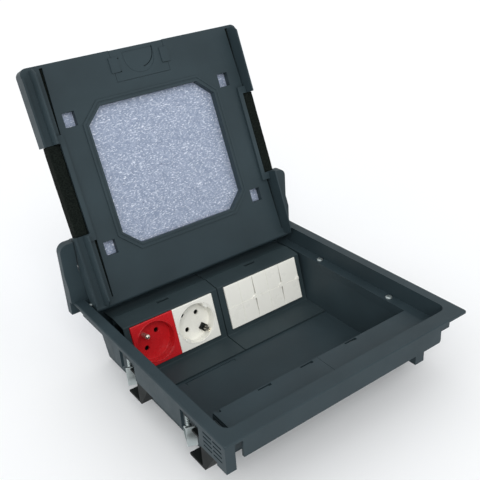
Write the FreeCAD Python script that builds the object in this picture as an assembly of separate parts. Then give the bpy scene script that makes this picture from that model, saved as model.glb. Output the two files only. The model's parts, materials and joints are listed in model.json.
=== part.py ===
"""Floor socket box with a lift-up lid, two power sockets and three blank data covers.

Millimetres, +X to the right, +Y towards the hinge, +Z up. The pieces are laid out with
Y = 0 at the flange's front edge and Z = 0 at floor level, X = 0 on the middle line. Each
one is moved to the origin, below the middle of the flange on the tub's underside, when
it is written. The lid's pieces are drawn closed and then swung open about the hinge pins.
The widths grow outwards from the standard module, and the lengths run from front to back.
"""
import FreeCAD
import Part
import math
import os

os.makedirs("parts", exist_ok=True)
Point = FreeCAD.Vector

# Modules
MODULE = 45.0
MODULE_GAP = 0.2
MODULE_PLATE = 3.0
PLATE_CHAMFER = 0.4
SUPPORT_EDGE = 4.0
SUPPORT_FOOT = 2.5
SUPPORT_INSIDE = 1.5
SUPPORT_THICKNESS = 2.0
WELL_RADIUS = 19.2
WELL_WALL = 1.2
WELL_DEPTH = 10.5
WELL_FLOOR = 2.5
WELL_FIT = 0.1
PIN_HOLE_RADIUS = 2.45
PIN_SPACING = 19.0
PIN_LENGTH = 19.5
SOCKET_TURN = 45.0
SOCKET_BODY = 40.0
SOCKET_BODY_BACK = 32.0
SOCKET_BODY_CORNER = 1.5
EARTH_PIN_RADIUS = 2.4
EARTH_PIN_OFFSET = 10.0
EARTH_PIN_PROUD = 0.5
EARTH_PIN_POINT = 1.3
EARTH_CLIP_WIDTH = 4.0
EARTH_CLIP_THICKNESS = 0.8
EARTH_CLIP_HEIGHT = 8.0
EARTH_CLIP_FOOT = 1.0
EARTH_CLIP_STANDOFF = 1.6
WIDE_COVER_SHARE = 0.375
COVER_LINE_WIDTH = 0.5
COVER_LINE_DEPTH = 0.4
COVER_BOSS = 3.0
COVER_BOSS_HEIGHT = 0.8
COVER_BOSS_EDGE = 0.4

# Module carriers
CARRIER_HALF_GAP = 0.5
CARRIER_INNER_MARGIN = 6.9
CARRIER_OUTER_MARGIN = 5.7
CARRIER_SHEET = 1.8
CARRIER_BEND = 1.1
CARRIER_BEHIND_FRONT = 1.2
CARRIER_ABOVE_MODULES = 1.6
CARRIER_BELOW_MODULES = 5.0
FACE_TILT = 75.02
FOOT_TO_FACE = 40.67
CARRIER_TOP_LENGTH = 22.33
CARRIER_TOP_GAP = 1.1
CARRIER_LIP = 7.4
WINDOW_CLEARANCE = 0.3
TOP_SLOT_LENGTH = 13.0
TOP_SLOT_WIDTH = 3.0
TOP_SLOT_EDGE = 3.2

# Tub
CARRIER_SIDE_GAP = 4.0
PLUG_SPACE = 104.5
TUB_WALL = 2.0
TUB_FLOOR_THICKNESS = 2.5
TUB_TAPER = 3.6
TUB_BOTTOM_BEVEL = 2.5
KNOCKOUT_RADIUS = 11.0
KNOCKOUT_DEPTH = 0.6
KNOCKOUT_DROP = 19.0
KNOCKOUT_PITCH = 54.0
FLOOR_GROOVE_DEPTH = 0.8
FLOOR_GROOVE_WIDTH = 1.2
FLOOR_GROOVE_TURN = 2.4
FLOOR_GROOVE_TO_FOOT = 3.8
FLOOR_GROOVE_LENGTH = 56.0
FLOOR_GROOVE_FROM_SIDE = 36.0

# Lid, as it lies closed
LID_SIDE_GAP = 2.4
LID_FRONT_GAP = 0.6
LID_BACK_GAP = 1.2
LID_HEIGHT = 13.5
LID_CORNER = 6.0
LID_PANEL = 2.2
LID_SIDE_WALL = 2.2
LID_FRONT_WALL = 1.8
LID_SIDE_DROP = 1.5
LID_SIDE_SETBACK = 2.0
LID_HINGE_STRIP = 13.0
LID_EDGE_RADIUS = 3.0
PLATE_HEIGHT = 6.3
PLATE_THICKNESS = 1.5
PLATE_STEP = 3.0
PLATE_CLEARANCE = 0.3
WINDOW_SIDE_MARGIN = 46.3
WINDOW_FRONT_MARGIN = 46.0
WINDOW_BACK_MARGIN = 47.3
WINDOW_CUT_X = 16.1
WINDOW_CUT_Y = 15.1
WINDOW_WALL = 2.0
BORDER_WIDTH = 5.5
BORDER_HEIGHT = 1.2
BORDER_GROOVE = 1.4
BORDER_GROOVE_DEPTH = 0.6
SMALL_WINDOW_GAP = 9.5
SMALL_WINDOW_WIDTH = 11.8
SMALL_WINDOW_LENGTH = 13.2
SMALL_WINDOW_AHEAD = 1.3
SMALL_WINDOW_WALL = 1.5
SIDE_RIM_GAP = 0.5
SIDE_RIM_THICKNESS = 1.5
SIDE_RIM_HEIGHT = 14.0
SIDE_RIM_FRONT_GAP = 2.9
SIDE_RIM_BACK_GAP = 4.1
SIDE_RIM_NOSE = 5.0
OUTLET_FRONT_MARGIN = 69.5
OUTLET_BACK_MARGIN = 71.5
OUTLET_INSET = 14.7
OUTLET_WALL = 2.0
OUTLET_RIB_HEIGHT = 3.0
OUTLET_RIB_LENGTH = 7.0
OUTLET_RIB_WIDTH = 4.5
FOAM_SETBACK = 2.0
FOAM_PASSAGE = 4.8
FOAM_GAP = 0.3
FOAM_BELOW = 2.0
FOAM_TOP_GAP = 1.0

# Latch
LATCH_HALF_WIDTH = 28.4
LATCH_LENGTH = 29.5
LATCH_GAP = 0.3
LATCH_THICKNESS = 1.9
LATCH_TRAVEL = 2.0
LATCH_SKIN = 1.1
CUP_FRONT_GAP = 4.6
CUP_RADIUS = 15.5
CUP_STRAIGHT = 5.0
CUP_WALL = 1.2
CUP_TOP_GAP = 0.6
CUP_LINE = 0.8
CUP_LINE_DEPTH = 0.3
LUG_OVERLAP = 5.9
LUG_OUTSIDE = 3.1
LUG_FRONT_GAP = 7.0
LUG_LENGTH = 14.0
LUG_THICKNESS = 1.0
RAIL_THICKNESS = 1.5
KEEPER_CLEARANCE = 0.6

# Hinge
CARRIER_TO_HINGE = 14.9
HINGE_TO_LID_BACK = 7.4
HINGE_DEPTH = 2.2
HINGE_PIN_RADIUS = 1.5
HINGE_PIN_CLEARANCE = 0.05
PIN_IN_LID = 6.2
PIN_IN_FRAME = 6.2
PIN_BLOCK = 6.0
PIN_END_GAP = 0.3
PIN_END_WALL = 1.25
OPEN_ANGLE = 111.35

# Floor frame
SHELF_WIDTH = 10.1
SIDE_RIM = 9.9
FRONT_RIM = 13.7
BACK_RIM = 5.3
BACK_SHELF = 4.5
LEDGE_LENGTH = 35.8
FLANGE_EDGE = 2.5
FLANGE_CORNER = 2.0
FLANGE_BEVEL = 0.8
RECESS_CORNER = 8.0
SHELF_UNDER_LID = 2.2
FRAME_WALL = 2.5
SHELF_THICKNESS = 2.5
FRONT_SKIRT_DEPTH = 18.0
FRONT_SKIRT_LEFT_END = 15.7
FRONT_SKIRT_RIGHT_END = 32.2
FRONT_LIP_LENGTH = 10.0
FRONT_LIP_DEPTH = 4.5
SIDE_SKIRT_DEPTH = 22.0
SIDE_SKIRT_TO_CLAMP = 6.0
RIGHT_SKIRT_START = 36.0
CORNER_LEG_WIDTH = 8.5
CORNER_LEG_LENGTH = 12.0
CORNER_LEG_DEPTH = 25.0
FRONT_POST_WIDTH = 10.4
FRONT_POST_LENGTH = 14.0
FRONT_POST_DEPTH = 45.0
FRONT_POST_FROM_RIGHT = 33.8
FRONT_POST_FROM_FRONT = 15.3
VENT_COUNT = 5
VENT_PITCH = 3.0
VENT_HEIGHT = 1.4
VENT_LENGTH = 9.0
VENT_TOP = 6.0
VENT_FIRST = 6.5
VENT_COLUMN_PITCH = 12.0

# Ledge panels over the front cable space
LEDGE_THICKNESS = 2.4
LEDGE_GAP = 0.3
LEDGE_CORNER = 1.0
RIM_SLOT_WIDTH = 2.3
PRY_SLOT_LENGTH = 12.0
PRY_SLOT_WIDTH = 1.6
PRY_SLOT_EDGE = 1.6
PRY_SLOT_NEAR = 13.0
PRY_SLOT_FAR = 59.0

# Lid stops behind the frame
STOP_OUTSIDE = 2.6
STOP_THICKNESS = 8.2
STOP_HEIGHT = 58.0
STOP_BELOW = 14.0
STOP_CORNER = 8.0
STOP_FOOT_HEIGHT = 27.5
STOP_FOOT_LENGTH = 14.0
STOP_FOOT_SETBACK = 1.0
STOP_CLEARANCE = 0.3
STOP_SIDE_GAP = 0.8

# Floor clamps
SCREW_FROM_RECESS = 4.7
CLAMP_FROM_FRONT = 76.0
CLAMP_PITCH = 96.0
SCREW_RADIUS = 2.0
SCREW_HEAD_RADIUS = 3.2
SCREW_HEAD_HEIGHT = 1.7
SCREW_BELOW_NUT = 1.5
SCREW_HOLE_CLEARANCE = 0.3
HOUSING_SIDE_GAP = 0.6
HOUSING_TUB_GAP = 2.0
HOUSING_CLAW_GAP = 5.6
HOUSING_LENGTH = 21.0
HOUSING_SLOPE = 15.0
HOUSING_DEPTH = 45.0
HOUSING_CUP_WALL = 2.0
NUT_SIZE = 5.6
NUT_HEIGHT = 4.0
NUT_FOOT = 1.5
NUT_COLLAR_RADIUS = 2.7
CLAW_ARM = 18.4
CLAW_WIDTH = 8.5
CLAW_SHEET = 1.6
CLAW_TAB_HEIGHT = 19.0
CLAW_REST_ANGLE = 22.0
CLAW_DEPTH = 46.0
RUNNING_FIT = 0.05

# Widths, outwards from the middle line
COVERS_LEFT = CARRIER_HALF_GAP + CARRIER_INNER_MARGIN
SOCKETS_LEFT = -COVERS_LEFT - 2 * MODULE
CARRIER_OUTER = COVERS_LEFT + 2 * MODULE + CARRIER_OUTER_MARGIN
TUB_HALF_WIDTH = CARRIER_OUTER + CARRIER_SIDE_GAP
RIM_SLOT_INNER = TUB_HALF_WIDTH - RIM_SLOT_WIDTH
LEDGE_HALF_WIDTH = RIM_SLOT_INNER - LEDGE_GAP
SIDE_RIM_OUTER = TUB_HALF_WIDTH - SIDE_RIM_GAP
RECESS_HALF = TUB_HALF_WIDTH + SHELF_WIDTH
LID_HALF_WIDTH = RECESS_HALF - LID_SIDE_GAP
HALF_FRAME = RECESS_HALF + SIDE_RIM
CLAMP_X = RECESS_HALF - SCREW_FROM_RECESS
OUTLET_INNER = LID_HALF_WIDTH - OUTLET_INSET
WINDOW_HALF_WIDTH = LID_HALF_WIDTH - WINDOW_SIDE_MARGIN
LATCH_LUG_INNER = LATCH_HALF_WIDTH - LUG_OVERLAP
LATCH_LUG_OUTER = LATCH_HALF_WIDTH + LUG_OUTSIDE

# Lengths, from the front edge to the back
TUB_FRONT = FRONT_RIM + LEDGE_LENGTH
FOOT_FRONT_Y = TUB_FRONT + PLUG_SPACE
FACE_TOP_Y = FOOT_FRONT_Y + FOOT_TO_FACE
CARRIER_TOP_Y = FACE_TOP_Y + CARRIER_TOP_LENGTH
HINGE_Y = CARRIER_TOP_Y + CARRIER_TO_HINGE
LID_FRONT = FRONT_RIM + LID_FRONT_GAP
LID_BACK = HINGE_Y + HINGE_TO_LID_BACK
RECESS_BACK = LID_BACK + LID_BACK_GAP
TUB_BACK = RECESS_BACK - BACK_SHELF
FRAME_DEPTH = RECESS_BACK + BACK_RIM
STOP_BACK_Y = FRAME_DEPTH + STOP_THICKNESS
WINDOW_FRONT = LID_FRONT + WINDOW_FRONT_MARGIN
WINDOW_BACK = LID_BACK - WINDOW_BACK_MARGIN
OUTLET_FRONT = LID_FRONT + OUTLET_FRONT_MARGIN
OUTLET_BACK = LID_BACK - OUTLET_BACK_MARGIN
LATCH_BACK = LID_FRONT + LATCH_LENGTH
CUP_FRONT = LID_FRONT + CUP_FRONT_GAP
LUG_FRONT = LID_FRONT + LUG_FRONT_GAP
LUG_BACK = LUG_FRONT + LUG_LENGTH
CLAMP_ROWS = (CLAMP_FROM_FRONT, CLAMP_FROM_FRONT + CLAMP_PITCH)
SIDE_SKIRT_END = CLAMP_ROWS[1] - SIDE_SKIRT_TO_CLAMP

# Heights, downwards from floor level
LID_PANEL_Z = -LID_HEIGHT
RECESS_DEPTH = LID_HEIGHT + LID_SIDE_DROP + SHELF_UNDER_LID
SHELF_BOTTOM = -(RECESS_DEPTH + SHELF_THICKNESS)
LEDGE_TOP = -RECESS_DEPTH + LEDGE_THICKNESS
CARRIER_TOP_Z = -LID_HEIGHT - CARRIER_TOP_GAP
FACE_TOP_Z = -RECESS_DEPTH - MODULE_GAP
TUB_STRAIGHT_DEPTH = LID_HEIGHT + SIDE_RIM_HEIGHT + LID_SIDE_DROP
FACE_DROP = (MODULE + CARRIER_BELOW_MODULES) * math.sin(math.radians(FACE_TILT))
TUB_FLOOR = FACE_TOP_Z - FACE_DROP - CARRIER_SHEET
BOX_HEIGHT = TUB_FLOOR_THICKNESS - TUB_FLOOR
HINGE_Z = -HINGE_DEPTH
SCREW_TIP = -CLAW_DEPTH - NUT_FOOT - SCREW_BELOW_NUT

# Reach of a cutting shape beyond the face that it cuts, and the slack in edge tests
CUT = 1.0
TOUCH = 0.001


def block(x0, x1, y0, y1, z0, z1):
    """Box between two values on each axis."""
    return Part.makeBox(x1 - x0, y1 - y0, z1 - z0, Point(x0, y0, z0))


def prism(corners, along):
    """Solid from a closed outline of points, extruded along a vector."""
    return Part.Face(Part.makePolygon(corners + [corners[0]])).extrude(along)


def across(outline, x0, x1):
    """Solid from a (y, z) outline, extruded from x0 to x1."""
    return prism([Point(x0, y, z) for y, z in outline], Point(x1 - x0, 0, 0))


def upright(outline, z0, z1):
    """Solid from an (x, y) outline, extruded from z0 to z1."""
    return prism([Point(x, y, z0) for x, y in outline], Point(0, 0, z1 - z0))


def mirrored(shape):
    """The same piece on the other side of the middle line."""
    return shape.mirror(Point(0, 0, 0), Point(1, 0, 0))


def standing(edge):
    """True for an edge that runs along Z."""
    box = edge.BoundBox
    return box.XLength < TOUCH and box.YLength < TOUCH


def rounded_block(x0, x1, y0, y1, z0, z1, radius):
    """Box with its four standing edges rounded."""
    body = block(x0, x1, y0, y1, z0, z1)
    return body.makeFillet(radius, [edge for edge in body.Edges if standing(edge)])


def front_rounded(x0, x1, y0, y1, z0, z1, radius):
    """Box with the two standing edges at its front rounded."""
    body = block(x0, x1, y0, y1, z0, z1)
    picked = [edge for edge in body.Edges if standing(edge) and edge.BoundBox.YMin < y0 + CUT]
    return body.makeFillet(radius, picked)


def rod(x, y, z0, z1, radius):
    """Upright cylinder."""
    return Part.makeCylinder(radius, z1 - z0, Point(x, y, z0))


def cross_rod(x0, x1, y, z, radius):
    """Cylinder along X."""
    return Part.makeCylinder(radius, x1 - x0, Point(x0, y, z), Point(1, 0, 0))


def joined(shapes):
    """One clean solid from touching or overlapping shapes."""
    return shapes[0].multiFuse(shapes[1:]).removeSplitter()


def save(name, shapes):
    """Write one node as a STEP file at the part's own origin."""
    solids = [solid for shape in shapes for solid in shape.Solids]
    node = solids[0] if len(solids) == 1 else Part.makeCompound(solids)
    node.translate(Point(0, -FRAME_DEPTH / 2, BOX_HEIGHT))
    node.exportStep("parts/%s.step" % name)


def opened(shape):
    """Swing a closed lid piece to its open rest pose."""
    turned = shape.copy()
    turned.rotate(Point(0, HINGE_Y, HINGE_Z), Point(1, 0, 0), -OPEN_ANGLE)
    return turned


def on_face(shape):
    """Move a piece drawn flat to the carriers' sloping face.

    Flat, X runs across, Y = 0 is the modules' top edge, and Z = 0 is their front.
    """
    placed = shape.copy()
    placed.rotate(Point(0, 0, 0), Point(1, 0, 0), FACE_TILT)
    placed.translate(Point(0, FACE_TOP_Y, FACE_TOP_Z))
    return placed


def face_point(down, out):
    """(y, z) of a point so far down the face and so far out from it."""
    tilt = math.radians(FACE_TILT)
    y = FACE_TOP_Y - down * math.cos(tilt) - out * math.sin(tilt)
    z = FACE_TOP_Z - down * math.sin(tilt) + out * math.cos(tilt)
    return y, z


# ---------------------------------------------------------------- floor frame
def flange():
    plate = rounded_block(-HALF_FRAME, HALF_FRAME, 0, FRAME_DEPTH, -FLANGE_EDGE, 0,
                          FLANGE_CORNER)
    top = [edge for edge in plate.Edges if edge.BoundBox.ZMin > -CUT / 2]
    return plate.makeChamfer(FLANGE_BEVEL, top)


def recess_walls():
    return block(-RECESS_HALF - FRAME_WALL, RECESS_HALF + FRAME_WALL, FRONT_RIM - FRAME_WALL,
                 FRAME_DEPTH, SHELF_BOTTOM, -CUT)


def front_skirt():
    left = -HALF_FRAME + FRONT_SKIRT_LEFT_END
    right = HALF_FRAME - FRONT_SKIRT_RIGHT_END
    skirt = block(left, right, 0, FRAME_WALL, -FRONT_SKIRT_DEPTH, -CUT)
    low_right = [edge for edge in skirt.Edges if edge.BoundBox.YLength > CUT
                 and edge.BoundBox.XMin > right - CUT and edge.BoundBox.ZMax < -CUT * 2]
    skirt = skirt.makeFillet(FRAME_WALL, low_right)
    lip = block(right - CUT, right + FRONT_LIP_LENGTH, 0, FRAME_WALL, -FRONT_LIP_DEPTH, -CUT)
    return skirt.fuse(lip)


def skirt_tie(x):
    """Web that ties the front skirt to the recess wall."""
    return block(x, x + FRAME_WALL, CUT, FRONT_RIM - CUT, -FRONT_SKIRT_DEPTH + FRAME_WALL, -CUT)


def left_skirt():
    return block(-HALF_FRAME, -HALF_FRAME + FRAME_WALL, CORNER_LEG_LENGTH - CUT,
                 SIDE_SKIRT_END, -SIDE_SKIRT_DEPTH, -CUT)


def right_skirt():
    return block(HALF_FRAME - FRAME_WALL, HALF_FRAME, RIGHT_SKIRT_START,
                 SIDE_SKIRT_END, -SIDE_SKIRT_DEPTH, -CUT)


def corner_leg():
    """L-shaped leg under the flange's front left corner."""
    outer = block(-HALF_FRAME, -HALF_FRAME + CORNER_LEG_WIDTH, 0, CORNER_LEG_LENGTH,
                  -CORNER_LEG_DEPTH, -CUT)
    inner = block(-HALF_FRAME + FRAME_WALL, HALF_FRAME, FRAME_WALL, FRAME_DEPTH,
                  -CORNER_LEG_DEPTH - CUT, -FLANGE_EDGE)
    return outer.cut(inner)


def front_post():
    x0 = HALF_FRAME - FRONT_POST_FROM_RIGHT - FRONT_POST_WIDTH
    y0 = FRONT_POST_FROM_FRONT
    return block(x0, x0 + FRONT_POST_WIDTH, y0, y0 + FRONT_POST_LENGTH,
                 -FRONT_POST_DEPTH, SHELF_BOTTOM + CUT)


def vents():
    """Two columns of slots near the front of the left skirt."""
    slots = []
    for column in range(2):
        y = VENT_FIRST + column * VENT_COLUMN_PITCH
        for row in range(VENT_COUNT):
            z = -VENT_TOP - row * VENT_PITCH
            slots.append(block(-HALF_FRAME - CUT, -HALF_FRAME + FRAME_WALL + CUT,
                               y, y + VENT_LENGTH, z - VENT_HEIGHT, z))
    return slots


def pin_block():
    """Thick end of the side rim that carries a hinge pin."""
    return block(RECESS_HALF, RECESS_HALF + PIN_IN_FRAME + PIN_END_WALL,
                 HINGE_Y - PIN_BLOCK, HINGE_Y + PIN_BLOCK, HINGE_Z - PIN_BLOCK, -CUT)


def clamp_places():
    """(x, y) of the four clamp screws."""
    return [(side * CLAMP_X, row) for side in (-1, 1) for row in CLAMP_ROWS]


def recess_cut():
    return front_rounded(-RECESS_HALF, RECESS_HALF, FRONT_RIM, RECESS_BACK,
                         -RECESS_DEPTH, CUT, RECESS_CORNER)


def tub_opening():
    return block(-TUB_HALF_WIDTH, TUB_HALF_WIDTH, TUB_FRONT, TUB_BACK, SHELF_BOTTOM - CUT, CUT)


def rim_slot():
    """Slot in the front shelf that takes the lid's deep side rim."""
    return block(RIM_SLOT_INNER, TUB_HALF_WIDTH, FRONT_RIM, TUB_FRONT + CUT,
                 SHELF_BOTTOM - CUT, CUT)


def keeper_slot():
    """Slot in the front wall that the latch slides into."""
    half = LATCH_HALF_WIDTH + KEEPER_CLEARANCE
    return block(-half, half, FRONT_RIM - FRAME_WALL - CUT, FRONT_RIM + CUT,
                 LID_PANEL_Z - KEEPER_CLEARANCE,
                 LID_PANEL_Z + LATCH_THICKNESS + KEEPER_CLEARANCE)


def floor_frame():
    solid_parts = [flange(), recess_walls(), front_skirt(), left_skirt(), right_skirt(),
                   corner_leg(), front_post(), pin_block(), mirrored(pin_block())]
    solid_parts += [skirt_tie(x) for x in (-HALF_FRAME / 2, 0, HALF_FRAME / 2)]
    cuts = [recess_cut(), tub_opening(), rim_slot(), mirrored(rim_slot()), keeper_slot()]
    cuts += vents()
    pin = cross_rod(RECESS_HALF - CUT, RECESS_HALF + PIN_IN_FRAME + PIN_END_GAP,
                    HINGE_Y, HINGE_Z, HINGE_PIN_RADIUS + HINGE_PIN_CLEARANCE)
    cuts += [pin, mirrored(pin)]
    for x, y in clamp_places():
        cuts.append(rod(x, y, SHELF_BOTTOM - CUT, CUT, SCREW_RADIUS + SCREW_HOLE_CLEARANCE))
    return joined(solid_parts).cut(Part.makeCompound(cuts)).removeSplitter()


# ---------------------------------------------------------------- tub
def ring(half, y0, y1, z):
    """Closed rectangle at one height."""
    corners = [Point(-half, y0, z), Point(half, y0, z), Point(half, y1, z), Point(-half, y1, z)]
    return Part.makePolygon(corners + [corners[0]])


def tapered(levels):
    """Solid through rectangles, each given as (inset, z) from the tub's mouth."""
    rings = [ring(TUB_HALF_WIDTH - inset, TUB_FRONT + inset, TUB_BACK - inset, z)
             for inset, z in levels]
    return Part.makeLoft(rings, True, True)


def knockout(x, y, normal_x, normal_y):
    """Thinned disc that marks a cable knock-out on the outside of a sloping wall."""
    lean = math.atan2(TUB_TAPER, -TUB_FLOOR - TUB_STRAIGHT_DEPTH)
    axis = Point(normal_x * math.cos(lean), normal_y * math.cos(lean), -math.sin(lean))
    start = Point(x, y, -TUB_STRAIGHT_DEPTH - KNOCKOUT_DROP) - axis * KNOCKOUT_DEPTH
    return Part.makeCylinder(KNOCKOUT_RADIUS, KNOCKOUT_DEPTH + CUT, start, axis)


def knockouts():
    """Knock-outs along the back wall and on both side walls."""
    part = KNOCKOUT_DROP / (-TUB_FLOOR - TUB_STRAIGHT_DEPTH)
    inset = TUB_TAPER * part - TUB_WALL
    discs = [knockout(column * KNOCKOUT_PITCH, TUB_BACK - inset, 0, 1) for column in (-1, 0, 1)]
    middle = (TUB_FRONT + TUB_BACK) / 2
    for side in (-1, 1):
        x = side * (TUB_HALF_WIDTH - inset)
        discs += [knockout(x, middle + row * KNOCKOUT_PITCH / 2, side, 0) for row in (-1, 1)]
    return discs


def floor_marks():
    """Joint line with turned ends, moulded into the tub's floor."""
    low = TUB_FLOOR - FLOOR_GROOVE_DEPTH
    x0 = -TUB_HALF_WIDTH + FLOOR_GROOVE_FROM_SIDE
    x1 = x0 + FLOOR_GROOVE_LENGTH
    y = FOOT_FRONT_Y - FLOOR_GROOVE_TO_FOOT
    line = block(x0, x1, y, y + FLOOR_GROOVE_WIDTH, low, TUB_FLOOR + CUT)
    ends = [block(x, x + FLOOR_GROOVE_WIDTH, y - FLOOR_GROOVE_TURN,
                  y + FLOOR_GROOVE_WIDTH, low, TUB_FLOOR + CUT)
            for x in (x0, x1 - FLOOR_GROOVE_WIDTH)]
    return [line] + ends


def rim_notch():
    """Notch in the tub's front wall for the lid's deep side rim."""
    return block(RIM_SLOT_INNER, TUB_HALF_WIDTH, TUB_FRONT - TUB_WALL - CUT, TUB_FRONT + CUT,
                 LID_PANEL_Z - SIDE_RIM_HEIGHT - SIDE_RIM_GAP, 0)


def tub():
    bottom = TUB_FLOOR - TUB_FLOOR_THICKNESS
    outer = tapered([(-TUB_WALL, SHELF_BOTTOM), (-TUB_WALL, -TUB_STRAIGHT_DEPTH),
                     (TUB_TAPER - TUB_WALL, TUB_FLOOR),
                     (TUB_TAPER - TUB_WALL + TUB_BOTTOM_BEVEL, bottom)])
    inner = tapered([(0, SHELF_BOTTOM), (0, -TUB_STRAIGHT_DEPTH), (TUB_TAPER, TUB_FLOOR)])
    cuts = knockouts() + floor_marks() + [rim_notch(), mirrored(rim_notch())]
    return outer.cut(inner).cut(Part.makeCompound(cuts))


# ---------------------------------------------------------------- ledge panels
def pry_slot(x):
    """Slot for lifting a panel with a flat blade."""
    y = TUB_FRONT - PRY_SLOT_EDGE
    half = PRY_SLOT_LENGTH / 2
    return block(x - half, x + half, y - PRY_SLOT_WIDTH, y, -RECESS_DEPTH - CUT, 0)


def ledge_panel():
    """Right-hand panel over the front cable space."""
    panel = front_rounded(LEDGE_GAP / 2, LEDGE_HALF_WIDTH, FRONT_RIM + LEDGE_GAP, TUB_FRONT,
                          -RECESS_DEPTH, LEDGE_TOP, LEDGE_CORNER)
    return panel.cut(pry_slot(PRY_SLOT_NEAR)).cut(pry_slot(PRY_SLOT_FAR))


# ---------------------------------------------------------------- module carriers
def offset_path(points, distance):
    """Points of an open (y, z) path moved sideways by a distance."""
    moved = []
    for index, (y, z) in enumerate(points):
        before = points[max(index - 1, 0)]
        after = points[min(index + 1, len(points) - 1)]
        normals = []
        for a, b in ((before, (y, z)), ((y, z), after)):
            length = math.hypot(b[0] - a[0], b[1] - a[1])
            if length > 0:
                normals.append((-(b[1] - a[1]) / length, (b[0] - a[0]) / length))
        ny = sum(n[0] for n in normals) / len(normals)
        nz = sum(n[1] for n in normals) / len(normals)
        scale = distance / (ny * ny + nz * nz)
        moved.append((y + ny * scale, z + nz * scale))
    return moved


def carrier_path():
    """Front surface of the bent carrier sheet, from its foot to the rear lip."""
    foot_z = TUB_FLOOR + CARRIER_SHEET
    tilt = math.radians(FACE_TILT)
    upper = face_point(-CARRIER_ABOVE_MODULES, -CARRIER_BEHIND_FRONT)
    down = (upper[1] - foot_z) / math.sin(tilt)
    lower = (upper[0] - down * math.cos(tilt), foot_z)
    return [(FOOT_FRONT_Y, foot_z), lower, upper, (CARRIER_TOP_Y, CARRIER_TOP_Z),
            (CARRIER_TOP_Y, CARRIER_TOP_Z - CARRIER_LIP)]


def bent_sheet(path, thickness, radius, x0, x1):
    """Sheet that follows a (y, z) path, with rounded bends."""
    back = offset_path(path, -thickness)
    sheet = across(path + back[::-1], x0, x1)
    bends = []
    for front_point, back_point in list(zip(path, back))[1:-1]:
        for y, z in (front_point, back_point):
            for edge in sheet.Edges:
                box = edge.BoundBox
                if box.XLength > CUT and math.hypot(box.YMin - y, box.ZMin - z) < TOUCH:
                    bends.append(edge)
    return sheet.makeFillet(radius, bends)


def carrier(x0, x1, modules_left):
    sheet = bent_sheet(carrier_path(), CARRIER_SHEET, CARRIER_BEND, x0, x1)
    gap = WINDOW_CLEARANCE
    window = on_face(block(modules_left - gap, modules_left + 2 * MODULE + gap,
                           -MODULE - gap, gap, -MODULE_PLATE * 2, MODULE_PLATE))
    middle = (x0 + x1) / 2
    y1 = CARRIER_TOP_Y - TOP_SLOT_EDGE
    slot = block(middle - TOP_SLOT_LENGTH / 2, middle + TOP_SLOT_LENGTH / 2,
                 y1 - TOP_SLOT_WIDTH, y1, CARRIER_TOP_Z - MODULE, CUT)
    return sheet.cut(window).cut(slot)


def support_frame(modules_left):
    """Ring behind the carrier's window that the module plates clip to."""
    x0 = modules_left
    x1 = modules_left + 2 * MODULE
    z1 = -CARRIER_BEHIND_FRONT - CARRIER_SHEET
    outer = block(x0 - SUPPORT_EDGE, x1 + SUPPORT_EDGE, -MODULE - SUPPORT_FOOT, -MODULE_GAP,
                  z1 - SUPPORT_THICKNESS, z1)
    inner = block(x0 + SUPPORT_INSIDE, x1 - SUPPORT_INSIDE, -MODULE + SUPPORT_INSIDE,
                  -SUPPORT_INSIDE, z1 - SUPPORT_THICKNESS - CUT, z1 + CUT)
    return on_face(outer.cut(inner))


# ---------------------------------------------------------------- sockets
def plate(x0, width):
    """Module plate with softened front edges."""
    body = block(x0 + MODULE_GAP / 2, x0 + width - MODULE_GAP / 2, -MODULE + MODULE_GAP / 2,
                 -MODULE_GAP / 2, -MODULE_PLATE, 0)
    front = [edge for edge in body.Edges if edge.BoundBox.ZMin > -CUT / 2]
    return body.makeChamfer(PLATE_CHAMFER, front)


def socket_plate(x0):
    middle = x0 + MODULE / 2
    hole = rod(middle, -MODULE / 2, -MODULE_PLATE - CUT, CUT, WELL_RADIUS + WELL_WALL + WELL_FIT)
    return plate(x0, MODULE).cut(hole)


def turned(outline, x, y):
    """Revolve a (radius, z) outline about an upright axis."""
    corners = [Point(x + radius, y, z) for radius, z in outline]
    face = Part.Face(Part.makePolygon(corners + [corners[0]]))
    return face.revolve(Point(x, y, 0), Point(0, 0, 1), 360)


def pin_holes(x, y, z0, z1):
    """The two line and neutral holes, on the socket's turned axis."""
    reach = PIN_SPACING / 2
    turn = math.radians(SOCKET_TURN)
    return [rod(x + side * reach * math.cos(turn), y + side * reach * math.sin(turn),
                z0, z1, PIN_HOLE_RADIUS) for side in (-1, 1)]


def socket_well(x0):
    """Round cup that the plug enters."""
    x = x0 + MODULE / 2
    y = -MODULE / 2
    outer = WELL_RADIUS + WELL_WALL
    floor = -WELL_DEPTH - WELL_FLOOR
    cup = turned([(0, floor), (outer, floor), (outer, 0), (WELL_RADIUS, 0),
                  (WELL_RADIUS, -WELL_DEPTH), (0, -WELL_DEPTH)], x, y)
    return cup.cut(Part.makeCompound(pin_holes(x, y, floor - CUT, 0)))


def socket_body(x0):
    """Terminal housing behind the cup."""
    x = x0 + MODULE / 2
    half = SOCKET_BODY / 2
    floor = -WELL_DEPTH - WELL_FLOOR
    body = rounded_block(x - half, x + half, -MODULE / 2 - half, -MODULE / 2 + half,
                         -SOCKET_BODY_BACK, floor, SOCKET_BODY_CORNER)
    return body.cut(Part.makeCompound(pin_holes(x, -MODULE / 2, -WELL_DEPTH - PIN_LENGTH, 0)))


def socket_offset(distance):
    """Step from the socket's middle, square to its hole line, up and left."""
    turn = math.radians(SOCKET_TURN)
    return -distance * math.sin(turn), distance * math.cos(turn)


def earth_pin(x0):
    dx, dy = socket_offset(EARTH_PIN_OFFSET)
    x = x0 + MODULE / 2 + dx
    y = -MODULE / 2 + dy
    pin = rod(x, y, -WELL_DEPTH, EARTH_PIN_PROUD, EARTH_PIN_RADIUS)
    tip = [edge for edge in pin.Edges if edge.BoundBox.ZMin > 0]
    return pin.makeChamfer(EARTH_PIN_POINT, tip)


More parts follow.
